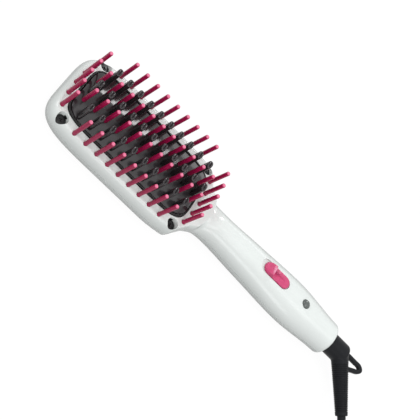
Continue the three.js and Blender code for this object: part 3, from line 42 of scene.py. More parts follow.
# Sizes in millimetres. Most are the CAD's; small forms, such as the pins' thickness, the slot's floor and
# the knob's length, are the visual model's own.
NOSE_LENGTH = 59.58
HEAD_HALF = 31.58
CORNER_FULLNESS = 5.0
SHOULDER_X = 54.0
SHOULDER_START = 24.0
NECK_X = 76.0
GRIP_START_X = 109.5
GRIP_X = 151.5
END_X = 193.9
NECK_HALF = 11.75
GRIP_START_HALF = 13.6
GRIP_HALF = 16.25
END_HALF = 12.85
NECK_DEPTH_HALF = 12.5
GRIP_DEPTH_HALF = 13.65
END_DEPTH_HALF = 12.2
AXIS_Z = 13.65
RIM_Z = 22.3
WALL = 2.2
END_WALL = 6.0
END_EDGE = 2.5
GAP = 0.3
PARTING_HALF = 0.15
PITCH = 9.0
PLATE_HALF = (49.5, 21.4)
LIP_HALF = (50.8, 22.7)
PLATE_FULLNESS = 5.8
PLATE_EDGE_RISE = 0.8
CROWN_RISE = 3.8
LIP_TOP_Z = 23.7
FRONT_EDGE = 4.2
BACK_EDGE = 13.5
BACK_PULL = 22.5
GRIP_ROUNDING = 0.98
PIN_RADIUS = 1.45
PIN_TIP_Z = 43.2
PIN_HOLE_RADIUS = 1.55
SIDE_PIN_Y = 27.17
END_PIN_X = 54.8
END_PIN_SPACING = 9.25
END_BOW_RADIUS = 74.4
INNER_PIN_Y = 8.16
BAR_HALF_WIDTH = 1.8
OUTER_BAR_SHIFT = 1.0
OUTER_BAR_Z = (15.6, 17.2)
INNER_BAR_Z = (19.2, 20.7)
SIDE_BLADE_Y = 16.55
SIDE_BLADE_Z = (21.9, 38.7)
MIDDLE_BLADE_Z = (25.0, 39.8)
BLADE_HALF = (1.8, 3.05)
BLADE_FOOT_HALF = (1.9, 3.3)
BLADE_POWER = 2.4
BLADE_ROUNDING = 1.7
SCREWS = {
    "far_left": (-46.9, -24.8),
    "far_right": (-46.9, 24.8),
    "near_left": (46.9, -24.8),
    "near_right": (46.9, 24.8),
}
SLOT_X = (112.7, 139.7)
SLOT_WIDTH = 9.6
SLOT_FLOOR_Z = 25.7
SLOT_WALL = 2.0
STEM_OPENING = ((121.0, 131.4), 2.7)
KNOB_X = 127.6
KNOB_LENGTH = 23.1
KNOB_WIDTH = 8.8
KNOB_FOOT_Z = 27.0
KNOB_TOP_Z = 28.15
LENS_X = 157.9
LENS_RADIUS = 3.1
COLLAR_RADIUS = 8.05
BEND = Vector((209.4, 0.0, AXIS_Z))
CORD_ANGLE = math.radians(-57.8)
CORD_WAY = Vector((math.cos(CORD_ANGLE), math.sin(CORD_ANGLE), 0.0))
SLEEVE_LENGTH = 44.0
SLEEVE_RADII = (6.5, 4.4)
CORD_DIAMETER = 6.0
COIL_CENTRE = Vector((334.0, -27.0, 0.0))
COIL_LAYERS = 4
LAY_PITCH = 6.7
COIL_TURNS = 7.8
LAYER_TURNS = COIL_TURNS / COIL_LAYERS
COIL_OUTER = 32.5 + LAYER_TURNS * LAY_PITCH / 2
CORD_Z = 4.15
TIE_ANGLE = math.radians(130)
PLUG_ANGLE = math.radians(315)
PLUG_WAY = Vector((-math.sin(PLUG_ANGLE), math.cos(PLUG_ANGLE), 0.0))
PLUG_MIDDLE = COIL_CENTRE + Vector((31 * math.cos(PLUG_ANGLE), 31 * math.sin(PLUG_ANGLE), 34.35))
PLUG_LENGTH = 30.0
PLUG_BLADE_Y = 6.35
TIE_THICKNESS = 0.8


# ---- Camera ----


def set_camera():
    """The photograph's viewpoint, found from the regular layout of the pins."""
    data = bpy.data.cameras.new("camera")
    data.sensor_width = 36.0
    data.lens = 69.845
    camera = bpy.data.objects.new("camera", data)
    right = Vector((0.673708, 0.445845, 0.589355))
    down = Vector((0.669705, -0.705510, -0.231843))
    ahead = Vector((0.312429, 0.550889, -0.773892))
    stand = Vector((-102.296, -289.423, 432.293))
    rows = [(right[i], -down[i], -ahead[i], stand[i] * MM) for i in range(3)]
    camera.matrix_world = Matrix((*rows, (0, 0, 0, 1)))
    data.clip_start, data.clip_end = 0.01, 50
    bpy.context.scene.collection.objects.link(camera)
    bpy.context.scene.camera = camera


# ---- Shapes: lists of points in millimetres and faces ----


def lofted(loops, start=None, end=None):
    """A closed skin over loops of equal length, ended by flat faces or by fans to a point."""
    count = len(loops[0])
    points = [Vector(p) for loop in loops for p in loop]
    faces = []
    for i in range(len(loops) - 1):
        for j in range(count):
            a, b = i * count + j, i * count + (j + 1) % count
            faces.append((a, b, b + count, a + count))
    last = (len(loops) - 1) * count
    for tip, base, order in ((start, 0, -1), (end, last, 1)):
        ring = [base + j for j in range(count)][::order]
        if tip is None:
            faces.append(tuple(ring))
        else:
            points.append(Vector(tip))
            faces += [(ring[j], ring[(j + 1) % count], len(points) - 1) for j in range(count)]
    return points, faces


def ring_of_loops(loops):
    """A closed skin over loops that come back to the first one."""
    count, total = len(loops[0]), len(loops)
    points = [Vector(p) for loop in loops for p in loop]
    faces = []
    for i in range(total):
        for j in range(count):
            a, b = i * count + j, i * count + (j + 1) % count
            c, d = ((i + 1) % total) * count + (j + 1) % count, ((i + 1) % total) * count + j
            faces.append((a, b, c, d))
    return points, faces


def together(shapes):
    """Several shapes as one."""
    points, faces = [], []
    for more_points, more_faces in shapes:
        base = len(points)
        points += more_points
        faces += [tuple(i + base for i in face) for face in more_faces]
    return points, faces


def placed(shape, matrix):
    return [matrix @ p for p in shape[0]], shape[1]


def moved(shape, x, y, z=0.0):
    return placed(shape, Matrix.Translation((x, y, z)))


def along_x(shape):
    """A shape made upright, laid along the handle's axis."""
    return placed(shape, Matrix.Translation((0, 0, AXIS_Z)) @ Matrix.Rotation(math.pi / 2, 4, "Y"))


def turned(profile, sides):
    """Turned about +Z. The profile is [(radius, height), ...] upwards; radius 0 ends it in a point."""
    inner = [p for p in profile if p[0] > 0]
    loops = []
    for radius, height in inner:
        turns = [2 * math.pi * k / sides for k in range(sides)]
        loops.append([(radius * math.cos(a), radius * math.sin(a), height) for a in turns])
    start = (0, 0, profile[0][1]) if profile[0][0] == 0 else None
    end = (0, 0, profile[-1][1]) if profile[-1][0] == 0 else None
    return lofted(loops, start, end)


def block(low, high):
    """A box between two corners, used to cut and to add."""
    (x0, y0, z0), (x1, y1, z1) = low, high
    outline = [(x0, y0), (x1, y0), (x1, y1), (x0, y1)]
    return lofted([[(x, y, z) for x, y in outline] for z in (z0, z1)])


def prism(outline, low, high):
    return lofted([[(x, y, z) for x, y in outline] for z in (low, high)])


def quarter_turn(first, last, steps):
    """The angles of these steps of a quarter turn."""
    return [math.pi / 2 * k / steps for k in range(first, last + 1)]


def superellipse(half_length, half_width, power, count):
    """Points round a full oblong, anticlockwise."""
    quarter = count // 4
    bend = 0.5 ** (1 / power)
    first = []
    for k in range(quarter):
        share = k / quarter
        if share < 0.5:
            y = bend * share * 2
            first.append(((1 - y**power) ** (1 / power), y))
        else:
            x = bend * (1 - share) * 2
            first.append((x, (1 - x**power) ** (1 / power)))
    second = [(-y, x) for x, y in first]
    points = first + second + [(-x, -y) for x, y in first + second]
    return [(x * half_length, y * half_width) for x, y in points]


def plate_outline(half_length, half_width):
    return superellipse(half_length, half_width, PLATE_FULLNESS, 128)


def stadium(middle, length, width, arc=16, straight=1):
    """An outline with round ends along X; straight is the number of steps of each long side."""
    points = []
    for side in (1, -1):
        centre = middle + side * (length - width) / 2
        for k in range(arc + 1):
            angle = math.radians((-90 if side > 0 else 90) + 180 * k / arc)
            points.append((centre + width / 2 * math.cos(angle), width / 2 * math.sin(angle)))
        for k in range(1, straight):
            points.append((centre - side * (length - width) * k / straight, side * width / 2))
    return points


def mesh_of(name, shape):
    """The shape as a mesh in metres, with points that meet joined."""
    mesh = bpy.data.meshes.new(name)
    mesh.from_pydata([p * MM for p in shape[0]], [], shape[1])
    work = bmesh.new()
    work.from_mesh(mesh)
    bmesh.ops.remove_doubles(work, verts=work.verts, dist=0.002 * MM)
    bmesh.ops.dissolve_degenerate(work, edges=work.edges, dist=0.0001 * MM)
    bmesh.ops.recalc_face_normals(work, faces=work.faces)
    work.to_mesh(mesh)
    work.free()
    return mesh


def put(mesh, name="scratch"):
    item = bpy.data.objects.new(name, mesh)
    bpy.context.scene.collection.objects.link(item)
    return item


def baked(item):
    """The object's mesh with its modifiers applied; the object itself goes."""
    graph = bpy.context.evaluated_depsgraph_get()
    mesh = bpy.data.meshes.new_from_object(item.evaluated_get(graph))
    bpy.data.objects.remove(item)
    return mesh


def combined(mesh, tool, operation):
    """mesh joined with, cut by or kept inside tool."""
    if isinstance(tool, tuple):
        tool = mesh_of("tool", tool)
    item, other = put(mesh), put(tool)
    change = item.modifiers.new("change", "BOOLEAN")
    change.operation, change.solver, change.object = operation, "MANIFOLD", other
    result = baked(item)
    bpy.data.objects.remove(other)
    return result


def finished(name, mesh, material, body, slot, *nodes, sharp=32):
    """A piece of the object: smooth but for its hard edges, with its finish, riding on its body."""
    for face in mesh.polygons:
        face.use_smooth = True
    mesh.set_sharp_from_angle(angle=math.radians(sharp))
    mesh.materials.clear()
    mesh.materials.append(material)
    mesh.name = name
    item = put(mesh, name)
    if nodes:
        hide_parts(*nodes)
    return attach(item, body)


# ---- Finishes ----


def node_group(name, inputs, outputs):
    group = bpy.data.node_groups.new(name, "ShaderNodeTree")
    for label, kind, default in inputs:
        socket = group.interface.new_socket(label, in_out="INPUT", socket_type=kind)
        socket.default_value = default
    for label, kind in outputs:
        group.interface.new_socket(label, in_out="OUTPUT", socket_type=kind)
    return group, group.nodes.new("NodeGroupInput"), group.nodes.new("NodeGroupOutput")


def blend(nodes, links, factor, first, second):
    """A node that mixes two colours. A colour is a socket or four numbers."""
    mix = nodes.new("ShaderNodeMix")
    mix.data_type = "RGBA"
    links.new(factor, mix.inputs["Factor"])
    for label, colour in (("A", first), ("B", second)):
        if isinstance(colour, tuple):
            mix.inputs[label].default_value = colour
        else:
            links.new(colour, mix.inputs[label])
    return mix.outputs["Result"]


def surface_group():
    """Uneven colour, uneven gloss and a fine grain, as moulded, plated and cast faces have."""
    group, given, put_out = node_group(
        "surface",
        [
            ("Colour", "NodeSocketColor", (0.8, 0.8, 0.8, 1)),
            ("Other Colour", "NodeSocketColor", (0.7, 0.7, 0.7, 1)),
            ("Patch Size", "NodeSocketFloat", 40.0),
            ("Gloss Low", "NodeSocketFloat", 0.3),
            ("Gloss High", "NodeSocketFloat", 0.4),
            ("Grain Size", "NodeSocketFloat", 2000.0),
            ("Grain", "NodeSocketFloat", 0.5),
        ],
        [("Colour", "NodeSocketColor"), ("Roughness", "NodeSocketFloat"), ("Height", "NodeSocketFloat")],
    )
    nodes, links = group.nodes, group.links
    place = nodes.new("ShaderNodeTexCoord")
    patches = nodes.new("ShaderNodeTexNoise")
    patches.inputs["Detail"].default_value = 3
    links.new(place.outputs["Object"], patches.inputs["Vector"])
    links.new(given.outputs["Patch Size"], patches.inputs["Scale"])
    tint = blend(nodes, links, patches.outputs["Fac"], given.outputs["Colour"], given.outputs["Other Colour"])
    links.new(tint, put_out.inputs["Colour"])
    gloss = nodes.new("ShaderNodeMapRange")
    links.new(patches.outputs["Fac"], gloss.inputs["Value"])
    gloss.inputs["From Min"].default_value = 0.3
    gloss.inputs["From Max"].default_value = 0.7
    links.new(given.outputs["Gloss Low"], gloss.inputs["To Min"])
    links.new(given.outputs["Gloss High"], gloss.inputs["To Max"])
    links.new(gloss.outputs["Result"], put_out.inputs["Roughness"])
    grain = nodes.new("ShaderNodeTexNoise")
    grain.inputs["Detail"].default_value = 4
    links.new(place.outputs["Object"], grain.inputs["Vector"])
    links.new(given.outputs["Grain Size"], grain.inputs["Scale"])
    lift = nodes.new("ShaderNodeMath")
    lift.operation = "MULTIPLY"
    links.new(grain.outputs["Fac"], lift.inputs[0])
    links.new(given.outputs["Grain"], lift.inputs[1])
    links.new(lift.outputs["Value"], put_out.inputs["Height"])
    return group


def tip_highlight_group():
    """Painted highlight: colour that turns lighter from one height to another, standing in for the light that
    the pins' domed ends and the knob's crest catch.
    """
    group, given, put_out = node_group(
        "painted_tip_highlight",
        [
            ("Colour", "NodeSocketColor", (0.5, 0.1, 0.2, 1)),
            ("Highlight Colour", "NodeSocketColor", (0.9, 0.4, 0.5, 1)),
            ("From Height", "NodeSocketFloat", 0.04),
            ("To Height", "NodeSocketFloat", 0.043),
        ],
        [("Colour", "NodeSocketColor")],
    )
    nodes, links = group.nodes, group.links
    place = nodes.new("ShaderNodeTexCoord")
    split = nodes.new("ShaderNodeSeparateXYZ")
    links.new(place.outputs["Object"], split.inputs["Vector"])
    share = nodes.new("ShaderNodeMapRange")
    share.interpolation_type = "SMOOTHSTEP"
    links.new(split.outputs["Z"], share.inputs["Value"])
    links.new(given.outputs["From Height"], share.inputs["From Min"])
    links.new(given.outputs["To Height"], share.inputs["From Max"])
    tint = blend(nodes, links, share.outputs["Result"], given.outputs["Colour"], given.outputs["Highlight Colour"])
    links.new(tint, put_out.inputs["Colour"])
    return group


SURFACE = surface_group()
PAINTED_TIP_HIGHLIGHT = tip_highlight_group()


def finish(name, colour, other, gloss, grain=0.5, grain_size=2200, patch=45,
           metal=0.0, specular=0.5, tip=None, edge=None):
    """A finish that varies between two colours. tip is a painted highlight: a lighter colour and the heights
    where it begins and is full. edge is a painted shade: a darker colour and the share of turning away at
    which it begins."""
    material = bpy.data.materials.new(name)
    material.use_nodes = True
    nodes, links = material.node_tree.nodes, material.node_tree.links
    shader = nodes["Principled BSDF"]
    shader.inputs["Metallic"].default_value = metal
    shader.inputs["Specular IOR Level"].default_value = specular
    made = nodes.new("ShaderNodeGroup")
    made.node_tree = SURFACE
    for label, value in (
        ("Colour", (*colour, 1)),
        ("Other Colour", (*other, 1)),
        ("Patch Size", patch),
        ("Gloss Low", gloss[0]),
        ("Gloss High", gloss[1]),
        ("Grain Size", grain_size),
        ("Grain", grain),
    ):
        made.inputs[label].default_value = value
    tint = made.outputs["Colour"]
    # Painted highlight: the colour turns lighter towards the top, where light catches it.
    if tip:
        highlight_node = nodes.new("ShaderNodeGroup")
        highlight_node.node_tree = PAINTED_TIP_HIGHLIGHT
        highlight_colour, low, high = tip
        highlight_node.inputs["Highlight Colour"].default_value = (*highlight_colour, 1)
        highlight_node.inputs["From Height"].default_value = low * MM
        highlight_node.inputs["To Height"].default_value = high * MM
        links.new(tint, highlight_node.inputs["Colour"])
        tint = highlight_node.outputs["Colour"]
    # Painted shade: the colour turns darker where the surface is seen edge-on.
    if edge:
        edge_shade_colour, begin = edge
        weight = nodes.new("ShaderNodeLayerWeight")
        share = nodes.new("ShaderNodeMapRange")
        share.interpolation_type = "SMOOTHSTEP"
        share.inputs["From Min"].default_value = begin
        links.new(weight.outputs["Facing"], share.inputs["Value"])
        tint = blend(nodes, links, share.outputs["Result"], tint, (*edge_shade_colour, 1))
    links.new(tint, shader.inputs["Base Color"])
    links.new(made.outputs["Roughness"], shader.inputs["Roughness"])
    bump = nodes.new("ShaderNodeBump")
    bump.inputs["Distance"].default_value = 0.05 * MM
    bump.inputs["Strength"].default_value = 0.6
    links.new(made.outputs["Height"], bump.inputs["Height"])
    links.new(bump.outputs["Normal"], shader.inputs["Normal"])
    return material


# edge: painted shade, the shell's colour darkened where it is seen edge-on.
WHITE_SHELL = finish(
    "glossy_white_shell", (0.83, 0.87, 0.855), (0.80, 0.845, 0.825), (0.17, 0.22),
    grain=0.12, grain_size=900, patch=14, edge=((0.25, 0.27, 0.255), 0.5),
)
PLATE_BLACK = finish(
    "coated_black_plate", (0.020, 0.0175, 0.0195), (0.032, 0.026, 0.030), (0.10, 0.18),
    grain=0.3, grain_size=2600, patch=60, specular=0.45,
)
TRAY_BLACK = finish(
    "black_tray", (0.012, 0.0115, 0.012), (0.018, 0.017, 0.018), (0.3, 0.42), specular=0.3,
)
# tip: painted highlight on the pins' domed ends.
PIN_PINK = finish(
    "crimson_pins", (0.47, 0.009, 0.088), (0.40, 0.007, 0.074), (0.22, 0.3),
    grain=0.3, grain_size=2400, patch=120, specular=0.25, tip=((0.88, 0.22, 0.37), 42.4, 43.1),
)
# tip: painted highlight along the crest of the knob's hump.
SWITCH_PINK = finish(
    "pink_switch", (0.78, 0.090, 0.245), (0.50, 0.028, 0.120), (0.2, 0.32),
    grain=3.0, grain_size=700, patch=600, tip=((0.92, 0.42, 0.58), 29.75, 30.25),
)
SCREW_BLACK = finish(
    "blackened_screws", (0.012, 0.012, 0.013), (0.02, 0.02, 0.021), (0.25, 0.4),
    grain_size=2600, patch=90, metal=0.4,
)
STEEL = finish(
    "bright_steel", (0.55, 0.56, 0.57), (0.46, 0.47, 0.48), (0.22, 0.36),
    grain_size=3000, patch=80, metal=1.0,
)
BRASS = finish(
    "contact_brass", (0.66, 0.45, 0.14), (0.58, 0.38, 0.11), (0.2, 0.34),
    grain_size=3000, patch=80, metal=1.0,
)
CERAMIC = finish(
    "heater_ceramic", (0.70, 0.64, 0.54), (0.62, 0.56, 0.47), (0.5, 0.65), grain=0.8, grain_size=1800,
)
MICA = finish("mica", (0.55, 0.44, 0.28), (0.44, 0.34, 0.2), (0.25, 0.45), grain=0.6, grain_size=1200)
BOARD_GREEN = finish("circuit_board", (0.02, 0.12, 0.05), (0.03, 0.15, 0.07), (0.35, 0.5), grain_size=1600)
NATURAL = finish("natural_plastic", (0.66, 0.62, 0.54), (0.6, 0.56, 0.49), (0.4, 0.55))
LENS_GREY = finish(
    "grey_lens", (0.085, 0.103, 0.096), (0.06, 0.073, 0.068), (0.14, 0.2),
    grain=0.2, grain_size=2000, patch=200, specular=0.9,
)
# edge: painted shade, darker where the swivel is seen edge-on.
SWIVEL_BLACK = finish(
    "matt_black_swivel", (0.014, 0.015, 0.0175), (0.018, 0.019, 0.0215), (0.34, 0.44),
    grain=0.9, grain_size=3200, patch=70, specular=0.1, edge=((0.0012, 0.0012, 0.0014), 0.3),
)
# edge: painted shade, darker where the cord, strap and plug are seen edge-on.
CORD_BLACK = finish(
    "black_cord", (0.010, 0.0106, 0.0125), (0.013, 0.0135, 0.0155), (0.34, 0.44),
    grain=0.7, grain_size=2400, patch=60, specular=0.14, edge=((0.0015, 0.0015, 0.0017), 0.4),
)
LEAD_BROWN = finish("brown_lead", (0.19, 0.045, 0.013), (0.15, 0.035, 0.01), (0.4, 0.5))
LEAD_BLUE = finish("blue_lead", (0.025, 0.08, 0.28), (0.02, 0.065, 0.23), (0.4, 0.5))


# ---- Cord, coil and plug ----


def eased(start, length, x):
    """0 before start, 1 after start + length, and a smooth rise between."""
    t = min(max((x - start) / length, 0.0), 1.0)
    return t * t * (3 - 2 * t)


def bezier(a, b, c, d, steps):
    points = []
    for k in range(steps + 1):
        t = k / steps
        u = 1 - t
        points.append(a * u**3 + b * 3 * u * u * t + c * 3 * u * t * t + d * t**3)
    return points


def coil_point(turns):
    """The cord's middle after so many turns of the coil, which go in and out layer by layer."""
    layer = min(int(turns / LAYER_TURNS), COIL_LAYERS - 1)
    in_layer = turns - layer * LAYER_TURNS
    drawn_in = LAY_PITCH * (in_layer if layer % 2 == 0 else LAYER_TURNS - in_layer)
    steps_up = [eased(k * LAYER_TURNS - 0.25, 0.5, turns) for k in range(1, COIL_LAYERS)]
    height = CORD_Z + sum(LAY_PITCH * step for step in steps_up)
    angle = math.radians(-90 + 360 * turns)
    radius = COIL_OUTER - drawn_in
    return COIL_CENTRE + Vector((radius * math.cos(angle), radius * math.sin(angle), height))


def cord_points():
    """From inside the sleeve's end down to the floor, along it, round the coil and into the plug."""
    sleeve_end = BEND + CORD_WAY * (SLEEVE_LENGTH + GAP)
    coil_start = coil_point(0)
    lead = sleeve_end + CORD_WAY * CORD_DIAMETER
    straight = coil_start - Vector((2 * CORD_DIAMETER + GAP, 0, 0))
    run = bezier(lead, lead + CORD_WAY * 24, straight - Vector((40, 0, 0)), straight, 10)
    steps = round(COIL_TURNS * 24)
    coil = [coil_point(COIL_TURNS * k / steps) for k in range(steps + 1)]
    heading = (coil[-1] - coil[-2]).normalized()
    back = PLUG_MIDDLE - PLUG_WAY * PLUG_LENGTH / 2
    stop = back - PLUG_WAY * (GAP + CORD_DIAMETER)
    reach = (stop - coil[-1]).length * 0.39
    climb = bezier(coil[-1], coil[-1] + heading * reach, stop - PLUG_WAY * reach, stop, 9)
    entry = coil_start - Vector((CORD_DIAMETER, 0, 0))
    return [sleeve_end - CORD_WAY * 0.8, *run, entry, *coil, *climb[1:], back + PLUG_WAY * 0.5]


def mains_cord():
    points = cord_points()
    data = bpy.data.curves.new("mains_cord", "CURVE")
    data.dimensions = "3D"
    data.bevel_depth = CORD_DIAMETER / 2 * MM
    data.bevel_resolution = 5
    data.resolution_u = 4
    data.use_fill_caps = True
    spline = data.splines.new("BEZIER")
    spline.bezier_points.add(len(points) - 1)
    for knot, point in zip(spline.bezier_points, points):
        knot.co = point * MM
        knot.handle_left_type = knot.handle_right_type = "AUTO"
    data.materials.append(CORD_BLACK)
    cord = bpy.data.objects.new("mains_cord", data)
    bpy.context.scene.collection.objects.link(cord)
    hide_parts("cord", "cord_coil")
    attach(cord, "swivel")
    return cord, points


def section_strap(path, frames, outline):
    """A strap of one cross-section along a closed path of points, each with its outward direction."""
    loops = []
    for point, (out, side) in zip(path, frames):
        loops.append([point + out * a + side * b for a, b in outline])
    return ring_of_loops(loops)


def cord_tie():
    """A soft strap round the coil's bundle, its corners bent over the outer lays."""
    inside = COIL_OUTER - LAYER_TURNS * LAY_PITCH - CORD_DIAMETER / 2 - TIE_THICKNESS
    outside = COIL_OUTER + CORD_DIAMETER / 2 + GAP
    low = 0.05 + TIE_THICKNESS
    high = CORD_Z + (COIL_LAYERS - 1) * LAY_PITCH + CORD_DIAMETER / 2 + GAP
    corner = 3.2
    path, frames = [], []
    across = Vector((0, 1, 0))
    corners = (
        (outside - corner, high - corner, 0),
        (inside + corner, high - corner, 90),
        (inside + corner, low + corner, 180),
        (outside - corner, low + corner, 270),
    )
    for radius, height, start in corners:
        for k in range(9):
            angle = math.radians(start + 90 * k / 8)
            out = Vector((math.cos(angle), 0, math.sin(angle)))
            path.append(Vector((radius, 0, height)) + out * (corner + TIE_THICKNESS / 2))
            frames.append((out, across))
    outline = rounded_rectangle(0.38, 3.95, 0.3)
    shape = section_strap(path, frames, outline)
    turn = Matrix.Translation(COIL_CENTRE) @ Matrix.Rotation(TIE_ANGLE, 4, "Z")
    mesh = mesh_of("tie", placed(shape, turn))
    return finished("cord_strap", mesh, CORD_BLACK, "swivel", "cord_black", "cord_tie")


def rounded_rectangle(half_a, half_b, radius, arc=3):
    points = []
    for sign_a, sign_b, start in ((1, 1, 0), (-1, 1, 90), (-1, -1, 180), (1, -1, 270)):
        middle_a, middle_b = sign_a * (half_a - radius), sign_b * (half_b - radius)
        for k in range(arc + 1):
            angle = math.radians(start + 90 * k / arc)
            points.append((middle_a + radius * math.cos(angle), middle_b + radius * math.sin(angle)))
    return points


def plug_frame():
    turn = Matrix.Rotation(math.atan2(PLUG_WAY.y, PLUG_WAY.x), 4, "Z")
    return Matrix.Translation(PLUG_MIDDLE) @ turn


def plug():
    """A moulded two-blade plug: a stepped neck that widens into the grip, with a flat face."""
    slices = [
        # place along the plug, half width, half depth, fullness
        (-14.9, 4.0, 4.0, 2.2), (-13.5, 4.15, 4.15, 2.2), (-9.0, 4.5, 4.4, 2.3), (-5.0, 5.2, 4.9, 2.6),
        (-2.0, 7.2, 5.5, 3.0), (0.0, 8.9, 5.9, 3.2), (2.5, 9.65, 6.2, 3.6), (5.5, 9.85, 6.35, 4.0),
        (9.0, 9.9, 6.4, 4.0), (12.5, 9.95, 6.42, 4.2), (14.2, 9.85, 6.35, 4.4), (14.9, 9.4, 5.9, 4.4),
    ]
    loops = []
    for x, half_width, half_depth, power in slices:
        outline = superellipse(half_width, half_depth, power, 48)
        loops.append([(x, y, z) for y, z in outline])
    shape = placed(lofted(loops), plug_frame())
    body = finished("plug_moulding", mesh_of("plug", shape), CORD_BLACK, "swivel", "cord_black", "plug_body")
    blades = []
    for side, name in ((1, "left"), (-1, "right")):
        outline = ((15.3, -3.1), (29.2, -3.1), (31.1, -1.6), (31.1, 1.6), (29.2, 3.1), (15.3, 3.1))
        loops = []
        for offset, shrink in ((-0.72, 0.2), (-0.5, 0.0), (0.5, 0.0), (0.72, 0.2)):
            loop = []
            for x, z in outline:
                end_x = x - shrink if x > 20 else x
                loop.append((end_x, side * PLUG_BLADE_Y + offset, z - math.copysign(shrink, z)))
            loops.append(loop)
        blade = mesh_of("blade", lofted(loops))
        across = Matrix.Translation((27.4, side * PLUG_BLADE_Y, 0)) @ Matrix.Rotation(math.pi / 2, 4, "X")
        blade = combined(blade, placed(turned([(1.5, -2), (1.5, 2)], 24), across), "DIFFERENCE")
        blade.transform(Matrix.Translation(plug_frame().translation * MM) @ plug_frame().to_3x3().to_4x4())
        blades.append(finished("plug_contact_" + name, blade, STEEL, "swivel", "steel", "plug_blade_" + name))
    return [body, *blades]


set_camera()
cord, cord_line = mains_cord()
tie = cord_tie()
plug_pieces = plug()


# ---- Body shells ----


def steady_curve(points):
    """A smooth curve through points with rising x that never overshoots between them."""
    slope = [(b[1] - a[1]) / (b[0] - a[0]) for a, b in zip(points, points[1:])]
    tangent = [0.0]
    for before, after in zip(slope, slope[1:]):
        tangent.append(0.0 if before * after <= 0 else 2 * before * after / (before + after))
    tangent.append(0.0)

    def value(x):
        at = min(max(x, points[0][0]), points[-1][0])
        i = max(k for k in range(len(points) - 1) if points[k][0] <= at)
        (x0, y0), (x1, y1) = points[i], points[i + 1]
        span = x1 - x0
        t = (at - x0) / span
        rise = y0 * (1 + 2 * t) * (1 - t) ** 2 + y1 * t * t * (3 - 2 * t)
        return rise + span * (tangent[i] * t * (1 - t) ** 2 + tangent[i + 1] * t * t * (t - 1))

    return value


def shoulder_x(along):
    """A place on the shoulder: -1 where the head begins to narrow, 1 at the neck."""
    return SHOULDER_X + along * (SHOULDER_START if along < 0 else NECK_X - SHOULDER_X)


# Place along the shoulder and share of the way from the neck's half width to the head's
SHOULDER = ((-1, 1), (-0.202, 0.889), (0, 0.588), (0.218, 0.287), (0.632, 0.04))
# Where the head's faces turn into the grip's: from the shoulder's middle, and over what length
FRONT_FALL = (4, 17)
FRONT_CREASE = (8, 5)
BACK_FALL = (-2.5, 16)
half_width_at = steady_curve(
    [(0, HEAD_HALF)]
    + [(shoulder_x(along), NECK_HALF + share * (HEAD_HALF - NECK_HALF)) for along, share in SHOULDER]
    + [(NECK_X, NECK_HALF), (GRIP_START_X, GRIP_START_HALF), (GRIP_X, GRIP_HALF), (END_X, END_HALF)]
)
half_depth_at = steady_curve(
    [(SHOULDER_X, NECK_DEPTH_HALF), (NECK_X, NECK_DEPTH_HALF)]
    + [(GRIP_START_X, GRIP_DEPTH_HALF), (GRIP_X, GRIP_DEPTH_HALF), (END_X, END_DEPTH_HALF)]
)


def between(a, b, t):
    return a + (b - a) * t


def body_slice(x, nose_width=None):
    """Half width and the front and back faces (height, share of the width that is rounded, pull)."""
    width = half_width_at(x) if nose_width is None else nose_width
    front = eased(SHOULDER_X + FRONT_FALL[0], FRONT_FALL[1], x)
    crease = eased(SHOULDER_X + FRONT_CREASE[0], FRONT_CREASE[1], x)
    back = eased(SHOULDER_X + BACK_FALL[0], BACK_FALL[1], x)
    depth = half_depth_at(x)
    nose = nose_width is not None
    front_height = between(RIM_Z - AXIS_Z, depth, front)
    front_round = between(FRONT_EDGE / HEAD_HALF, GRIP_ROUNDING, crease)
    back_height = -between(AXIS_Z, depth, back)
    back_round = between(BACK_EDGE / HEAD_HALF, GRIP_ROUNDING, back)
    return (
        x,
        width,
        (front_height, front_round, FRONT_EDGE / NOSE_LENGTH * nose),
        (back_height, back_round, BACK_PULL / NOSE_LENGTH * nose),
    )


def slice_points(body, inset, steps):
    """The loop round one slice; a last point on each side keeps the flat faces flat up to their edge."""
    x, width, front, back = body
    half = max(width - inset * min(1, width / HEAD_HALF + (1 if x > 0 else 0)), 0)

    def quarter(face, side, first):
        height, edge, pull = face
        share = max((edge * width - inset) / half, 0.01) if half > inset else edge
        tall = height - math.copysign(inset, height)
        points = []
        for angle in quarter_turn(first, steps, steps):
            drawn = 1 - math.cos(angle)
            along = x * (1 - inset / NOSE_LENGTH) * (1 - pull * drawn) if x < 0 else x
            points.append((along, side * half * (1 - share * drawn), AXIS_Z + tall * math.sin(angle)))
        flat = half * (1 - share)
        along, _, z = points[-1]
        points.append((along, side * max(flat - 0.3, flat / 2), z))
        return points

    return (
        quarter(front, 1, 0)
        + quarter(front, -1, 0)[::-1]
        + quarter(back, -1, 1)
        + quarter(back, 1, 1)[::-1]
    )


def nose_slices(side_steps, end_steps):
    """Slices of the full rounded nose, evenly spread along its outline."""
    bend = 0.5 ** (1 / CORNER_FULLNESS)
    slices = []
    for k in range(end_steps):
        wide = bend * k / end_steps
        along = (1 - wide**CORNER_FULLNESS) ** (1 / CORNER_FULLNESS)
        slices.append(body_slice(-NOSE_LENGTH * along, HEAD_HALF * wide))
    for k in range(side_steps):
        along = bend * (1 - k / side_steps)
        wide = (1 - along**CORNER_FULLNESS) ** (1 / CORNER_FULLNESS)
        slices.append(body_slice(-NOSE_LENGTH * along, HEAD_HALF * wide))
    return slices


def stations(end):
    """Places along the body for its slices, close together round the shoulder."""
    fine = 30.0
    places = [0.0, fine / 2, fine]
    places += [fine + (NECK_X - fine) * k / 60 for k in range(1, 61)]
    places += [NECK_X + (END_X - NECK_X) * k / 44 for k in range(1, 45)]
    return [x for x in places if x < end - 0.6]


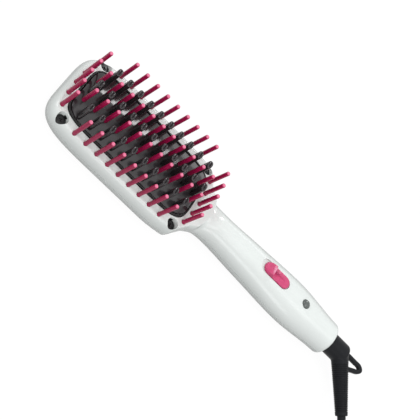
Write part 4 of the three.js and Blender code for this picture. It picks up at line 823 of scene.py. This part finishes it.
def outer_body():
    """The whole body's outside, with its far end rounded over a short edge."""
    loops = [slice_points(s, 0, 14) for s in nose_slices(26, 24)]
    loops += [slice_points(body_slice(x), 0, 14) for x in stations(END_X - END_EDGE)]
    for angle in quarter_turn(0, 8, 8):
        end = body_slice(END_X - END_EDGE * (1 - math.sin(angle)))
        loops.append(slice_points(end, END_EDGE * (1 - math.cos(angle)), 14))
    return lofted(loops)


def inner_body(inset):
    """The body's form drawn in by a wall, for hollows, rebates and lips."""
    end = END_X - END_WALL
    loops = [slice_points(s, inset, 7) for s in nose_slices(12, 12)]
    loops += [slice_points(body_slice(x), inset, 7) for x in stations(end)[::2] + [end]]
    return lofted(loops)


def side_pin_places():
    return [(PITCH * k, side * SIDE_PIN_Y) for side in (1, -1) for k in range(-4, 5)]


def end_pin_x(y):
    """The end rows are bowed: their pins stand nearer the middle towards the sides."""
    return END_PIN_X - y * y / (2 * END_BOW_RADIUS)


def end_pin_places(side):
    places = [END_PIN_SPACING * k for k in range(-2, 3)]
    return [(side * end_pin_x(y), y) for y in places]


def inner_pin_places(side):
    return [(PITCH * k, side * INNER_PIN_Y) for k in range(-5, 6)]


FAR = 400.0


def front_shell(outer, hollow):
    """The front half: pin holes with eased rims, screw recesses, the switch's slot and the lens's hole."""
    half = combined(outer, block((-FAR, -FAR, AXIS_Z + PARTING_HALF), (FAR, FAR, FAR)), "INTERSECT")
    half = combined(half, hollow.copy(), "DIFFERENCE")
    # The bosses that hold the screws' recesses, and the well of the switch's slot
    boss = turned([(4.6, RIM_Z - 6.4), (4.9, RIM_Z - 4.4), (4.9, RIM_Z - 0.3)], 40)
    supports = [moved(boss, x, y) for x, y in SCREWS.values()]
    slot_middle, slot_length = sum(SLOT_X) / 2, SLOT_X[1] - SLOT_X[0]
    well = stadium(slot_middle, slot_length + 2 * SLOT_WALL, SLOT_WIDTH + 2 * SLOT_WALL)
    supports.append(prism(well, 23.4, 26.5))
    supports = combined(mesh_of("supports", together(supports)), outer.copy(), "INTERSECT")
    half = combined(half, supports, "UNION")
    # The rebate inside the parting line, for the rear shell's lip
    seat = block((-FAR, -FAR, AXIS_Z - 1), (FAR, FAR, AXIS_Z + 1.0))
    rebate = combined(mesh_of("rebate", inner_body(1.0)), seat, "INTERSECT")
    half = combined(half, rebate, "DIFFERENCE")
    # Everything that opens the front face
    hole, rim = PIN_HOLE_RADIUS, PIN_HOLE_RADIUS + 0.3
    pin_hole = turned([(hole, 12), (hole, RIM_Z - 0.25), (rim, RIM_Z + 0.05), (rim, 26)], 24)
    recess = [(1.8, 12), (1.8, RIM_Z - 4.5), (3.7, RIM_Z - 4.5), (3.8, RIM_Z - 0.5)]
    recess = turned([*recess, (3.9, RIM_Z - 0.2), (4.15, RIM_Z + 0.05), (4.15, 26)], 48)
    places = side_pin_places() + end_pin_places(1) + end_pin_places(-1)
    cutters = [moved(pin_hole, x, y) for x, y in places]
    cutters += [moved(recess, x, y) for x, y in SCREWS.values()]
    opening = LIP_HALF[0] + GAP, LIP_HALF[1] + GAP
    cutters.append(prism(plate_outline(*opening), AXIS_Z, 26))
    cutters.append(prism(stadium(slot_middle, slot_length, SLOT_WIDTH, 20), SLOT_FLOOR_Z, FAR))
    lens_hole = [(3.2, AXIS_Z), (3.2, 26.75), (3.45, 27.1), (3.95, 27.4), (3.95, FAR)]
    cutters.append(moved(turned(lens_hole, 40), LENS_X, 0))
    half = combined(half, together(cutters), "DIFFERENCE")
    (low, high), half_width = STEM_OPENING
    stem_way = block((low, -half_width, AXIS_Z), (high, half_width, SLOT_FLOOR_Z + 1))
    half = combined(half, stem_way, "DIFFERENCE")
    return combined(half, collar_bore(), "DIFFERENCE")


def collar_bore():
    """The round opening at the handle's end, where the swivel's collar turns."""
    radius = COLLAR_RADIUS + GAP
    return along_x(turned([(radius, END_X - END_WALL - 1), (radius, FAR)], 64))


def rear_shell(outer, hollow):
    """The back half, with a lip inside the parting line that closes it to light."""
    half = combined(outer, block((-FAR, -FAR, -FAR), (FAR, FAR, AXIS_Z - PARTING_HALF)), "INTERSECT")
    half = combined(half, hollow.copy(), "DIFFERENCE")
    lip = combined(mesh_of("lip", inner_body(1.25)), mesh_of("bore", inner_body(2.35)), "DIFFERENCE")
    band = block((-FAR, -FAR, AXIS_Z - 1.2), (FAR, FAR, AXIS_Z + 0.7))
    lip = combined(lip, band, "INTERSECT")
    half = combined(half, lip, "UNION")
    return combined(half, collar_bore(), "DIFFERENCE")


outer_mesh = mesh_of("outer", outer_body())
hollow_mesh = mesh_of("hollow", inner_body(WALL))
front_half = front_shell(outer_mesh.copy(), hollow_mesh)
finished("shell_front", front_half, WHITE_SHELL, "handle", "shell_white", "front_shell")
rear_half = rear_shell(outer_mesh.copy(), hollow_mesh)
finished("shell_back", rear_half, WHITE_SHELL, "handle", "shell_white", "rear_shell")


# ---- Head: plate, blades, pins, tray and screws ----


def crown(x, y):
    """The plate's face: flat in the middle, ever steeper towards the lip, rounded at both ends."""
    end_length, first_slope, last_slope = 5.0, 0.095, 0.129
    near_end = min(max((PLATE_HALF[0] - abs(x)) / end_length, 0.0), 1.0)
    end_rise = math.sqrt(1 - (1 - near_end) ** 2)
    side = min(abs(y), PLATE_HALF[1])
    turn = min(max(side - 3.4, 0.0), 1.0)
    shelf = min(max(side - 4.4, 0.0), 3.4)
    flank = max(side - 7.8, 0.0)
    fall = first_slope * turn * turn / 2 + first_slope * shelf + 0.005 * shelf * shelf
    fall += last_slope * flank + 0.00874 * flank * flank
    return RIM_Z + PLATE_EDGE_RISE + max(CROWN_RISE - fall, 0.0) * end_rise


def plate():
    """The crowned plate with its rounded edge and a hole for every inner pin."""
    loops = [[(x, y, RIM_Z - 1.2) for x, y in plate_outline(*PLATE_HALF)]]
    edge_radius = 0.4
    for angle in quarter_turn(0, 6, 6):
        drawn = edge_radius * (1 - math.cos(angle))
        outline = plate_outline(PLATE_HALF[0] - drawn, PLATE_HALF[1] - drawn)
        loops.append([(x, y, crown(x, y) - edge_radius * (1 - math.sin(angle))) for x, y in outline])
    near_edge = (0.97, 0.95, 0.93, 0.91, 0.88, 0.84, 0.79)
    inner = (0.73, 0.66, 0.59, 0.52, 0.45, 0.38, 0.31, 0.24, 0.16, 0.08)
    for share in near_edge + inner:
        outline = plate_outline(PLATE_HALF[0] * share, PLATE_HALF[1] * share)
        loops.append([(x, y, crown(x, y)) for x, y in outline])
    mesh = mesh_of("plate", lofted(loops, end=(0, 0, crown(0, 0))))
    hole = turned([(PIN_HOLE_RADIUS, 18), (PIN_HOLE_RADIUS, 30)], 24)
    holes = [moved(hole, x, y) for side in (1, -1) for x, y in inner_pin_places(side)]
    return combined(mesh, together(holes), "DIFFERENCE")


def groove(x, y):
    """Depth, as a share, of the short slot across a tooth's end."""
    return math.exp(-((x / 0.34) ** 2) - (y / 2.3) ** 4)


def blade(base, tip):
    """A broad tooth that narrows a little upwards to a rounded end with a groove along it."""
    loops = []
    shoulder = tip - BLADE_ROUNDING
    for share in (0.0, 0.04, 0.12, 0.3, 0.5, 0.7, 0.85, 1.0):
        flare = 0.3 * (1 - share / 0.12) ** 2 if share < 0.12 else 0.0
        half_width = between(BLADE_FOOT_HALF[1], BLADE_HALF[1], share) + flare
        half_thick = between(BLADE_FOOT_HALF[0], BLADE_HALF[0], share) + flare
        z = between(base, shoulder, share)
        loops.append([(x, y, z) for y, x in superellipse(half_width, half_thick, BLADE_POWER, 40)])
    groove_depth, doming, fullness = 0.8, 0.3, 5.0
    for angle in quarter_turn(1, 12, 13):
        shrink = math.cos(angle)
        rise = (1 - shrink**fullness) ** (1 / fullness)
        outline = superellipse(BLADE_HALF[1] * shrink, BLADE_HALF[0] * shrink, BLADE_POWER, 40)
        loop = []
        for y, x in outline:
            height = BLADE_ROUNDING - groove_depth * groove(x, y) - doming * (y / 2.3) ** 2
            loop.append((x, y, shoulder + rise * height))
        loops.append(loop)
    return lofted(loops, end=(0, 0, tip - groove_depth))


def blades():
    """31 teeth: ten along each side and eleven taller ones down the middle."""
    side_blade, middle_blade = blade(*SIDE_BLADE_Z), blade(*MIDDLE_BLADE_Z)
    places = [(PITCH * (k + 0.5), side * SIDE_BLADE_Y) for side in (1, -1) for k in range(-5, 5)]
    teeth = [moved(side_blade, x, y) for x, y in places]
    teeth += [moved(middle_blade, PITCH * k, 0) for k in range(-5, 6)]
    return mesh_of("blades", together(teeth))


def pin(base):
    """A round pin with a domed tip."""
    dome = 1.1
    profile = [(PIN_RADIUS, base), (PIN_RADIUS, PIN_TIP_Z - dome)]
    for angle in quarter_turn(1, 6, 7):
        profile.append((PIN_RADIUS * math.cos(angle) ** 0.8, PIN_TIP_Z - dome + dome * math.sin(angle)))
    return turned([*profile, (0, PIN_TIP_Z)], 16)


def pin_row(places, bar):
    """Pins moulded on the bar that carries them under the shell."""
    mesh = mesh_of("bar", bar)
    pins = mesh_of("pins", together([moved(pin(bar[0][0].z + 0.5), x, y) for x, y in places]))
    return combined(mesh, pins, "UNION")


def straight_bar(half_length, y, heights):
    low = (-half_length, y - BAR_HALF_WIDTH, heights[0])
    return block(low, (half_length, y + BAR_HALF_WIDTH, heights[1]))


def side_bar(side):
    return straight_bar(37.8, side * (SIDE_PIN_Y - OUTER_BAR_SHIFT), OUTER_BAR_Z)


def end_bar(side):
    """A bar bowed as its row of pins is."""
    half_length, inward = 20.3, 0.6
    outline = []
    for shift, order in ((BAR_HALF_WIDTH, 1), (-BAR_HALF_WIDTH, -1)):
        for k in range(-6, 7):
            y = order * k * half_length / 6
            outline.append((side * (end_pin_x(y) + shift - inward), y))
    return prism(outline, *OUTER_BAR_Z)


def inner_bar(side):
    return straight_bar(47.0, side * INNER_PIN_Y, INNER_BAR_Z)


def tray():
    """The tray's wall, floor and the lip that borders the plate."""
    ring = [
        # how far out from the lip's edge, and height
        (0.0, 11.9), (0.0, 18.2), (1.4, 18.2), (1.4, 19.8), (0.0, 19.8), (0.0, 23.4),
        (-0.12, 23.6), (-0.35, LIP_TOP_Z), (-0.7, LIP_TOP_Z), (-0.9, 23.62), (-1.0, 23.4),
        (-1.0, 20.8), (-3.0, 20.8), (-3.0, 14.0),
    ]
    loops = []
    for grow, z in ring:
        outline = plate_outline(LIP_HALF[0] + grow, LIP_HALF[1] + grow)
        loops.append([(x, y, z) for x, y in outline])
    return mesh_of("tray", lofted(loops))


def cross_screw():
    """A pan head with a cross recess."""
    head_radius, head_low, head_side, head_top = 3.6, 17.85, 18.05, 18.6
    profile = [(1.5, 9.2), (1.5, head_low), (head_radius, head_low), (head_radius, head_side)]
    for angle in quarter_turn(1, 5, 6):
        height = head_side + (head_top - head_side) * math.sin(angle)
        profile.append((head_radius * math.cos(angle) ** 0.6, height))
    mesh = mesh_of("screw", turned([*profile, (0, head_top)], 36))
    loops = []
    for half_length, half_width, z in ((0.6, 0.2, 17.95), (1.9, 0.46, 18.9)):
        corners = ((-1, -1), (1, -1), (1, 1), (-1, 1))
        loops.append([(a * half_length, b * half_width, z) for a, b in corners])
    for turn in (0.4, 0.4 + math.pi / 2):
        arm = placed(lofted(loops), Matrix.Rotation(turn, 4, "Z"))
        mesh = combined(mesh, arm, "DIFFERENCE")
    return mesh


teeth_and_plate = combined(plate(), blades(), "UNION")
finished("hot_plate", teeth_and_plate, PLATE_BLACK, "handle", "plate_black", "heating_plate")
finished("tray", tray(), TRAY_BLACK, "handle", "tray_black", "plate_tray")
for side, name in ((-1, "left"), (1, "right")):
    row = [place for place in side_pin_places() if place[1] * side > 0]
    row = pin_row(row, side_bar(side))
    finished("side_pins_" + name, row, PIN_PINK, "handle", "pin_pink", "outer_pins_" + name)
    strip = pin_row(inner_pin_places(side), inner_bar(side))
    finished("inner_pins_" + name, strip, PIN_PINK, "handle", "pin_pink", "inner_pin_strip_" + name)
for side, name in ((-1, "far"), (1, "near")):
    row = pin_row(end_pin_places(side), end_bar(side))
    finished("end_pins_" + name, row, PIN_PINK, "handle", "pin_pink", "outer_pins_" + name)
screw = cross_screw()
for name, (x, y) in SCREWS.items():
    mesh = screw.copy()
    mesh.transform(Matrix.Translation((x * MM, y * MM, 0)))
    finished("screw_" + name, mesh, SCREW_BLACK, "handle", "screw_black", "head_screw_" + name)


# ---- Handle: switch knob and lens ----


def knob_top(x):
    """Height of the knob along its middle: a thumb hump at the head end, then a shallow dish."""
    along = x - (KNOB_X - KNOB_LENGTH / 2)

    def bump(height, middle, spread):
        return height * math.exp(-(((along - middle) / spread) ** 2))

    hump = bump(1.9, 6.6, 3.4 if along < 6.6 else 1.5)
    notch = bump(-0.5, 10.6, 1.5)
    bead = bump(0.6, 7.6, 0.55)
    return KNOB_TOP_Z + hump + notch + bead


def knob():
    """The knob's crowned top, its foot in the recess, and its stem with a pocket for the slider."""
    length, width = KNOB_LENGTH, KNOB_WIDTH
    edge_radius, dish = 0.9, 0.25
    arc, straight = 14, 90
    foot = stadium(KNOB_X, length, width, arc, straight)
    loops = [[(x, y, z) for x, y in foot] for z in (26.2, KNOB_FOOT_Z)]
    for angle in quarter_turn(1, 7, 7):
        drawn = edge_radius * (1 - math.cos(angle))
        loop = []
        for x, y in stadium(KNOB_X, length - 2 * drawn, width - 2 * drawn, arc, straight):
            loop.append((x, y, KNOB_FOOT_Z + (knob_top(x) - dish - KNOB_FOOT_Z) * math.sin(angle)))
        loops.append(loop)
    flat_length, flat_width = length - 2 * edge_radius, width - 2 * edge_radius
    for share in (0.8, 0.6, 0.4, 0.2, 0.04):
        inner_width = flat_width * share
        outline = stadium(KNOB_X, flat_length - (flat_width - inner_width), inner_width, arc, straight)
        loops.append([(x, y, knob_top(x) - dish * (share**2)) for x, y in outline])
    mesh = mesh_of("knob", lofted(loops))
    stem = block((KNOB_X - 3.2, -2.4, 21.4), (KNOB_X + 3.2, 2.4, KNOB_FOOT_Z))
    keeper = block((KNOB_X - 4.7, -4.1, 22.1), (KNOB_X + 4.7, 4.1, 23.1))
    mesh = combined(combined(mesh, stem, "UNION"), keeper, "UNION")
    pocket = block((KNOB_X - 2.6, -1.8, 20.0), (KNOB_X + 2.6, 1.8, 22.9))
    return combined(mesh, pocket, "DIFFERENCE")


def lens():
    """A dome on a short stem with a flange under the shell."""
    stem_top, dome = 26.8, 2.0
    profile = [(4.0, 23.3), (4.0, 23.9), (LENS_RADIUS, 23.9), (LENS_RADIUS, stem_top)]
    for angle in quarter_turn(1, 8, 9):
        profile.append((LENS_RADIUS * math.cos(angle), stem_top + dome * math.sin(angle)))
    return mesh_of("lens", moved(turned([*profile, (0, stem_top + dome)], 40), LENS_X, 0))


finished("slide_knob", knob(), SWITCH_PINK, "switch", "switch_pink", "switch_knob")
finished("lamp_lens", lens(), LENS_GREY, "handle", "lens_grey", "indicator_lens")


# ---- Cord swivel: collar, elbow, hanging loop and ribbed sleeve ----


def along_cord(shape):
    turn = Matrix.Rotation(CORD_ANGLE, 4, "Z") @ Matrix.Rotation(math.pi / 2, 4, "Y")
    return placed(shape, Matrix.Translation(BEND) @ turn)


def sleeve_radius(along):
    return between(*SLEEVE_RADII, min(max(along, 0.0) / SLEEVE_LENGTH, 1.0))


def ribbed_sleeve():
    """The tapered sleeve with its fine ribs, its end rounded where the cord leaves it."""
    profile = [(5.4, 4.0), (sleeve_radius(8.2) - 0.02, 4.6), (sleeve_radius(8.2), 8.2)]
    pitch = 1.45
    along = 8.6
    while along + pitch < SLEEVE_LENGTH - 1.4:
        for share, depth in ((0.0, 0.02), (0.12, 0.42), (0.3, 0.42), (0.42, 0.02), (0.7, -0.03)):
            profile.append((sleeve_radius(along + share * pitch) - depth, along + share * pitch))
        along += pitch
    end_radius, edge = SLEEVE_RADII[1], 0.6
    for angle in quarter_turn(0, 4, 4):
        drawn, out = edge * (1 - math.cos(angle)), edge * math.sin(angle)
        profile.append((end_radius - drawn, SLEEVE_LENGTH - edge + out))
    return along_cord(turned(profile, 56))


# The hanging loop's middle line, from the bend
LOOP_LINE = (
    (4.5, 3.1), (10, 3.1), (15, 3.0), (20.3, 2.8), (22.4, 0.8),
    (20.5, -1.7), (16.6, -3.5), (12.5, -5.4), (8.5, -7.4),
)


def smooth_line(points, steps):
    """A centripetal curve through the points."""
    ends = [points[0] * 2 - points[1], *points, points[-1] * 2 - points[-2]]
    line = []
    for p0, p1, p2, p3 in zip(ends, ends[1:], ends[2:], ends[3:]):
        t1 = (p1 - p0).length ** 0.5
        t2 = t1 + (p2 - p1).length ** 0.5
        t3 = t2 + (p3 - p2).length ** 0.5
        for k in range(steps):
            t = between(t1, t2, k / steps)
            a1 = p0 * ((t1 - t) / t1) + p1 * (t / t1)
            a2 = p1 * ((t2 - t) / (t2 - t1)) + p2 * ((t - t1) / (t2 - t1))
            a3 = p2 * ((t3 - t) / (t3 - t2)) + p3 * ((t - t2) / (t3 - t2))
            b1 = a1 * ((t2 - t) / t2) + a2 * (t / t2)
            b2 = a2 * ((t3 - t) / (t3 - t1)) + a3 * ((t - t1) / (t3 - t1))
            line.append(b1 * ((t2 - t) / (t2 - t1)) + b2 * ((t - t1) / (t2 - t1)))
    return [*line, points[-1]]


def hanging_loop():
    """A rounded strap that leaves the elbow, turns back and meets the sleeve's side."""
    line = smooth_line([BEND + Vector((dx, y, 0)) for dx, y in LOOP_LINE], 5)
    up = Vector((0, 0, 1))
    loops = []
    for i, point in enumerate(line):
        way = (line[min(i + 1, len(line) - 1)] - line[max(i - 1, 0)]).normalized()
        side = up.cross(way)
        loops.append([point + side * a + up * b for a, b in rounded_rectangle(1.68, 1.9, 0.95, 4)])
    return lofted(loops)


def swivel_core():
    """Collar, elbow and loop in one moulding, blended where they meet."""
    straight_end = 210.6
    collar = [(5.0, END_X + 0.6), (COLLAR_RADIUS, END_X + 0.6), (COLLAR_RADIUS, straight_end)]
    for angle in quarter_turn(1, 6, 6):
        collar.append((COLLAR_RADIUS - 2.4 * (1 - math.cos(angle)), straight_end + 2.3 * math.sin(angle)))
    mesh = mesh_of("collar", along_x(turned(collar, 72)))
    root = [(5.0, -4.6), (6.1, -3.6), (6.6, -1.5), (sleeve_radius(0) + 0.05, 0.5), (sleeve_radius(9), 9.0)]
    mesh = combined(mesh, along_cord(turned(root, 56)), "UNION")
    mesh = combined(mesh, hanging_loop(), "UNION")
    item = put(mesh)
    melt = item.modifiers.new("melt", "REMESH")
    melt.mode, melt.voxel_size = "VOXEL", 0.34 * MM
    ease = item.modifiers.new("ease", "SMOOTH")
    ease.factor, ease.iterations = 0.5, 10
    return baked(item)


def swivel():
    """The whole moulding, with the neck and flange that the bush holds inside the handle."""
    mesh = combined(swivel_core(), ribbed_sleeve(), "UNION")
    inside = [
        # radius and place along the axis: hub, flange, neck and the collar's foot
        (3.2, END_X - 24.4), (3.2, END_X - 13.1), (9.59, END_X - 13.1), (9.6, END_X - 11.0),
        (6.4, END_X - 11.0), (6.4, END_X - 5.7), (COLLAR_RADIUS, END_X - 5.7),
        (COLLAR_RADIUS, END_X + 1.1), (5.0, END_X + 1.3),
    ]
    return combined(mesh, along_x(turned(inside, 72)), "UNION")


finished("swivel_moulding", swivel(), SWIVEL_BLACK, "swivel", "swivel_black", "cord_swivel", sharp=40)


# ---- Finishes of the CAD's nodes ----

NODE_FINISHES = {
    CERAMIC: ("heater_far", "heater_near"),
    MICA: ("mica_sheet",),
    STEEL: ("heater_clamp", "clamp_screw_far", "clamp_screw_near", "thermal_fuse", "slide_switch_body",
            "plug_blade_left", "plug_blade_right"),
    TRAY_BLACK: ("thermostat", "switch_slider", "plate_tray"),
    BOARD_GREEN: ("control_board",),
    NATURAL: ("drop_capacitor", "indicator_led", "swivel_bush", "contact_block"),
    BRASS: ("slip_ring_live", "slip_ring_neutral", "contact_brush_live", "contact_brush_neutral"),
    LEAD_BROWN: ("heater_lead_live", "supply_lead_live"),
    LEAD_BLUE: ("heater_lead_neutral", "supply_lead_neutral"),
    WHITE_SHELL: ("front_shell", "rear_shell"),
    PLATE_BLACK: ("heating_plate",),
    PIN_PINK: ("outer_pins_left", "outer_pins_right", "outer_pins_far", "outer_pins_near",
               "inner_pin_strip_left", "inner_pin_strip_right"),
    SCREW_BLACK: ("head_screw_far_left", "head_screw_far_right",
                  "head_screw_near_left", "head_screw_near_right"),
    SWITCH_PINK: ("switch_knob",),
    LENS_GREY: ("indicator_lens",),
    SWIVEL_BLACK: ("cord_swivel",),
    CORD_BLACK: ("cord", "cord_coil", "cord_tie", "plug_body"),
}
for material, names in NODE_FINISHES.items():
    for name in names:
        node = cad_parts[name]
        node.data.materials.clear()
        node.data.materials.append(material)


# ---- Floor and light ----


FLOOR_COLOUR = (0.1, 0.1, 0.1)
FLOOR_GLOW = 0.935
WORLD_LIGHT = 0.62
LAMP_AIM = Vector((0.06, 0, 0.02))
# Each lamp's azimuth and elevation in degrees, distance and size in metres, and radiance
LAMPS = {
    "window": (82, 41, 1.4, (0.26, 0.30), 12.5),
    "low_window": (70, 20, 1.4, (0.4, 0.25), 1.7),
    "overhead": (-12, 56, 1.4, (0.35, 0.35), 1.95),
    "ceiling": (0, 84, 1.7, (0.9, 0.9), 0.8),
    "near_side": (-72, 24, 1.4, (0.6, 0.4), 3.0),
    "near_high": (-85, 60, 1.4, (0.7, 0.5), 2.5),
    "far_side": (180, 35, 1.4, (0.6, 0.5), 3.0),
}


def seen_directly(nodes, links):
    """1 for camera, mirror and see-through rays."""
    path = nodes.new("ShaderNodeLightPath")
    seen = path.outputs["Is Camera Ray"]
    for label in ("Is Glossy Ray", "Is Transmission Ray"):
        either = nodes.new("ShaderNodeMath")
        either.operation = "MAXIMUM"
        links.new(seen, either.inputs[0])
        links.new(path.outputs[label], either.inputs[1])
        seen = either.outputs["Value"]
    return seen


def pale_floor():
    """A floor that is white where it is seen, and throws little light back at the object."""
    reach = 6.0
    corners = [(-reach, -reach, 0), (reach, -reach, 0), (reach, reach, 0), (-reach, reach, 0)]
    mesh = bpy.data.meshes.new("floor")
    mesh.from_pydata(corners, [], [(0, 1, 2, 3)])
    material = bpy.data.materials.new("pale_floor")
    material.use_nodes = True
    nodes, links = material.node_tree.nodes, material.node_tree.links
    shader = nodes["Principled BSDF"]
    shader.inputs["Base Color"].default_value = (*FLOOR_COLOUR, 1)
    shader.inputs["Roughness"].default_value = 0.9
    shader.inputs["Specular IOR Level"].default_value = 0.0
    shader.inputs["Emission Color"].default_value = (1, 1, 1, 1)
    scale = nodes.new("ShaderNodeMath")
    scale.operation = "MULTIPLY"
    scale.inputs[1].default_value = FLOOR_GLOW
    links.new(seen_directly(nodes, links), scale.inputs[0])
    links.new(scale.outputs["Value"], shader.inputs["Emission Strength"])
    mesh.materials.append(material)
    floor = put(mesh, "floor")


def studio_world():
    """An even pale surrounding, white where it is seen."""
    world = bpy.data.worlds.new("studio")
    bpy.context.scene.world = world
    world.use_nodes = True
    nodes, links = world.node_tree.nodes, world.node_tree.links
    background = nodes["Background"]
    background.inputs["Color"].default_value = (1, 1, 1, 1)
    level = nodes.new("ShaderNodeMapRange")
    links.new(seen_directly(nodes, links), level.inputs["Value"])
    level.inputs["To Min"].default_value = WORLD_LIGHT
    level.inputs["To Max"].default_value = 1.0
    links.new(level.outputs["Result"], background.inputs["Strength"])


def softbox(name, azimuth, elevation, distance, size, radiance):
    """A rectangular soft lamp that faces the brush."""
    data = bpy.data.lights.new(name, "AREA")
    data.shape = "RECTANGLE"
    data.size, data.size_y = size
    data.energy = radiance * math.pi * size[0] * size[1]
    lamp = bpy.data.objects.new(name, data)
    a, e = math.radians(azimuth), math.radians(elevation)
    way = Vector((math.cos(a) * math.cos(e), math.sin(a) * math.cos(e), math.sin(e)))
    lamp.location = LAMP_AIM + way * distance
    lamp.rotation_mode = "QUATERNION"
    lamp.rotation_quaternion = (-way).to_track_quat("-Z", "Y")
    bpy.context.scene.collection.objects.link(lamp)


pale_floor()
studio_world()
for name, settings in LAMPS.items():
    softbox(name, *settings)
bpy.context.scene.view_settings.view_transform = "Standard"
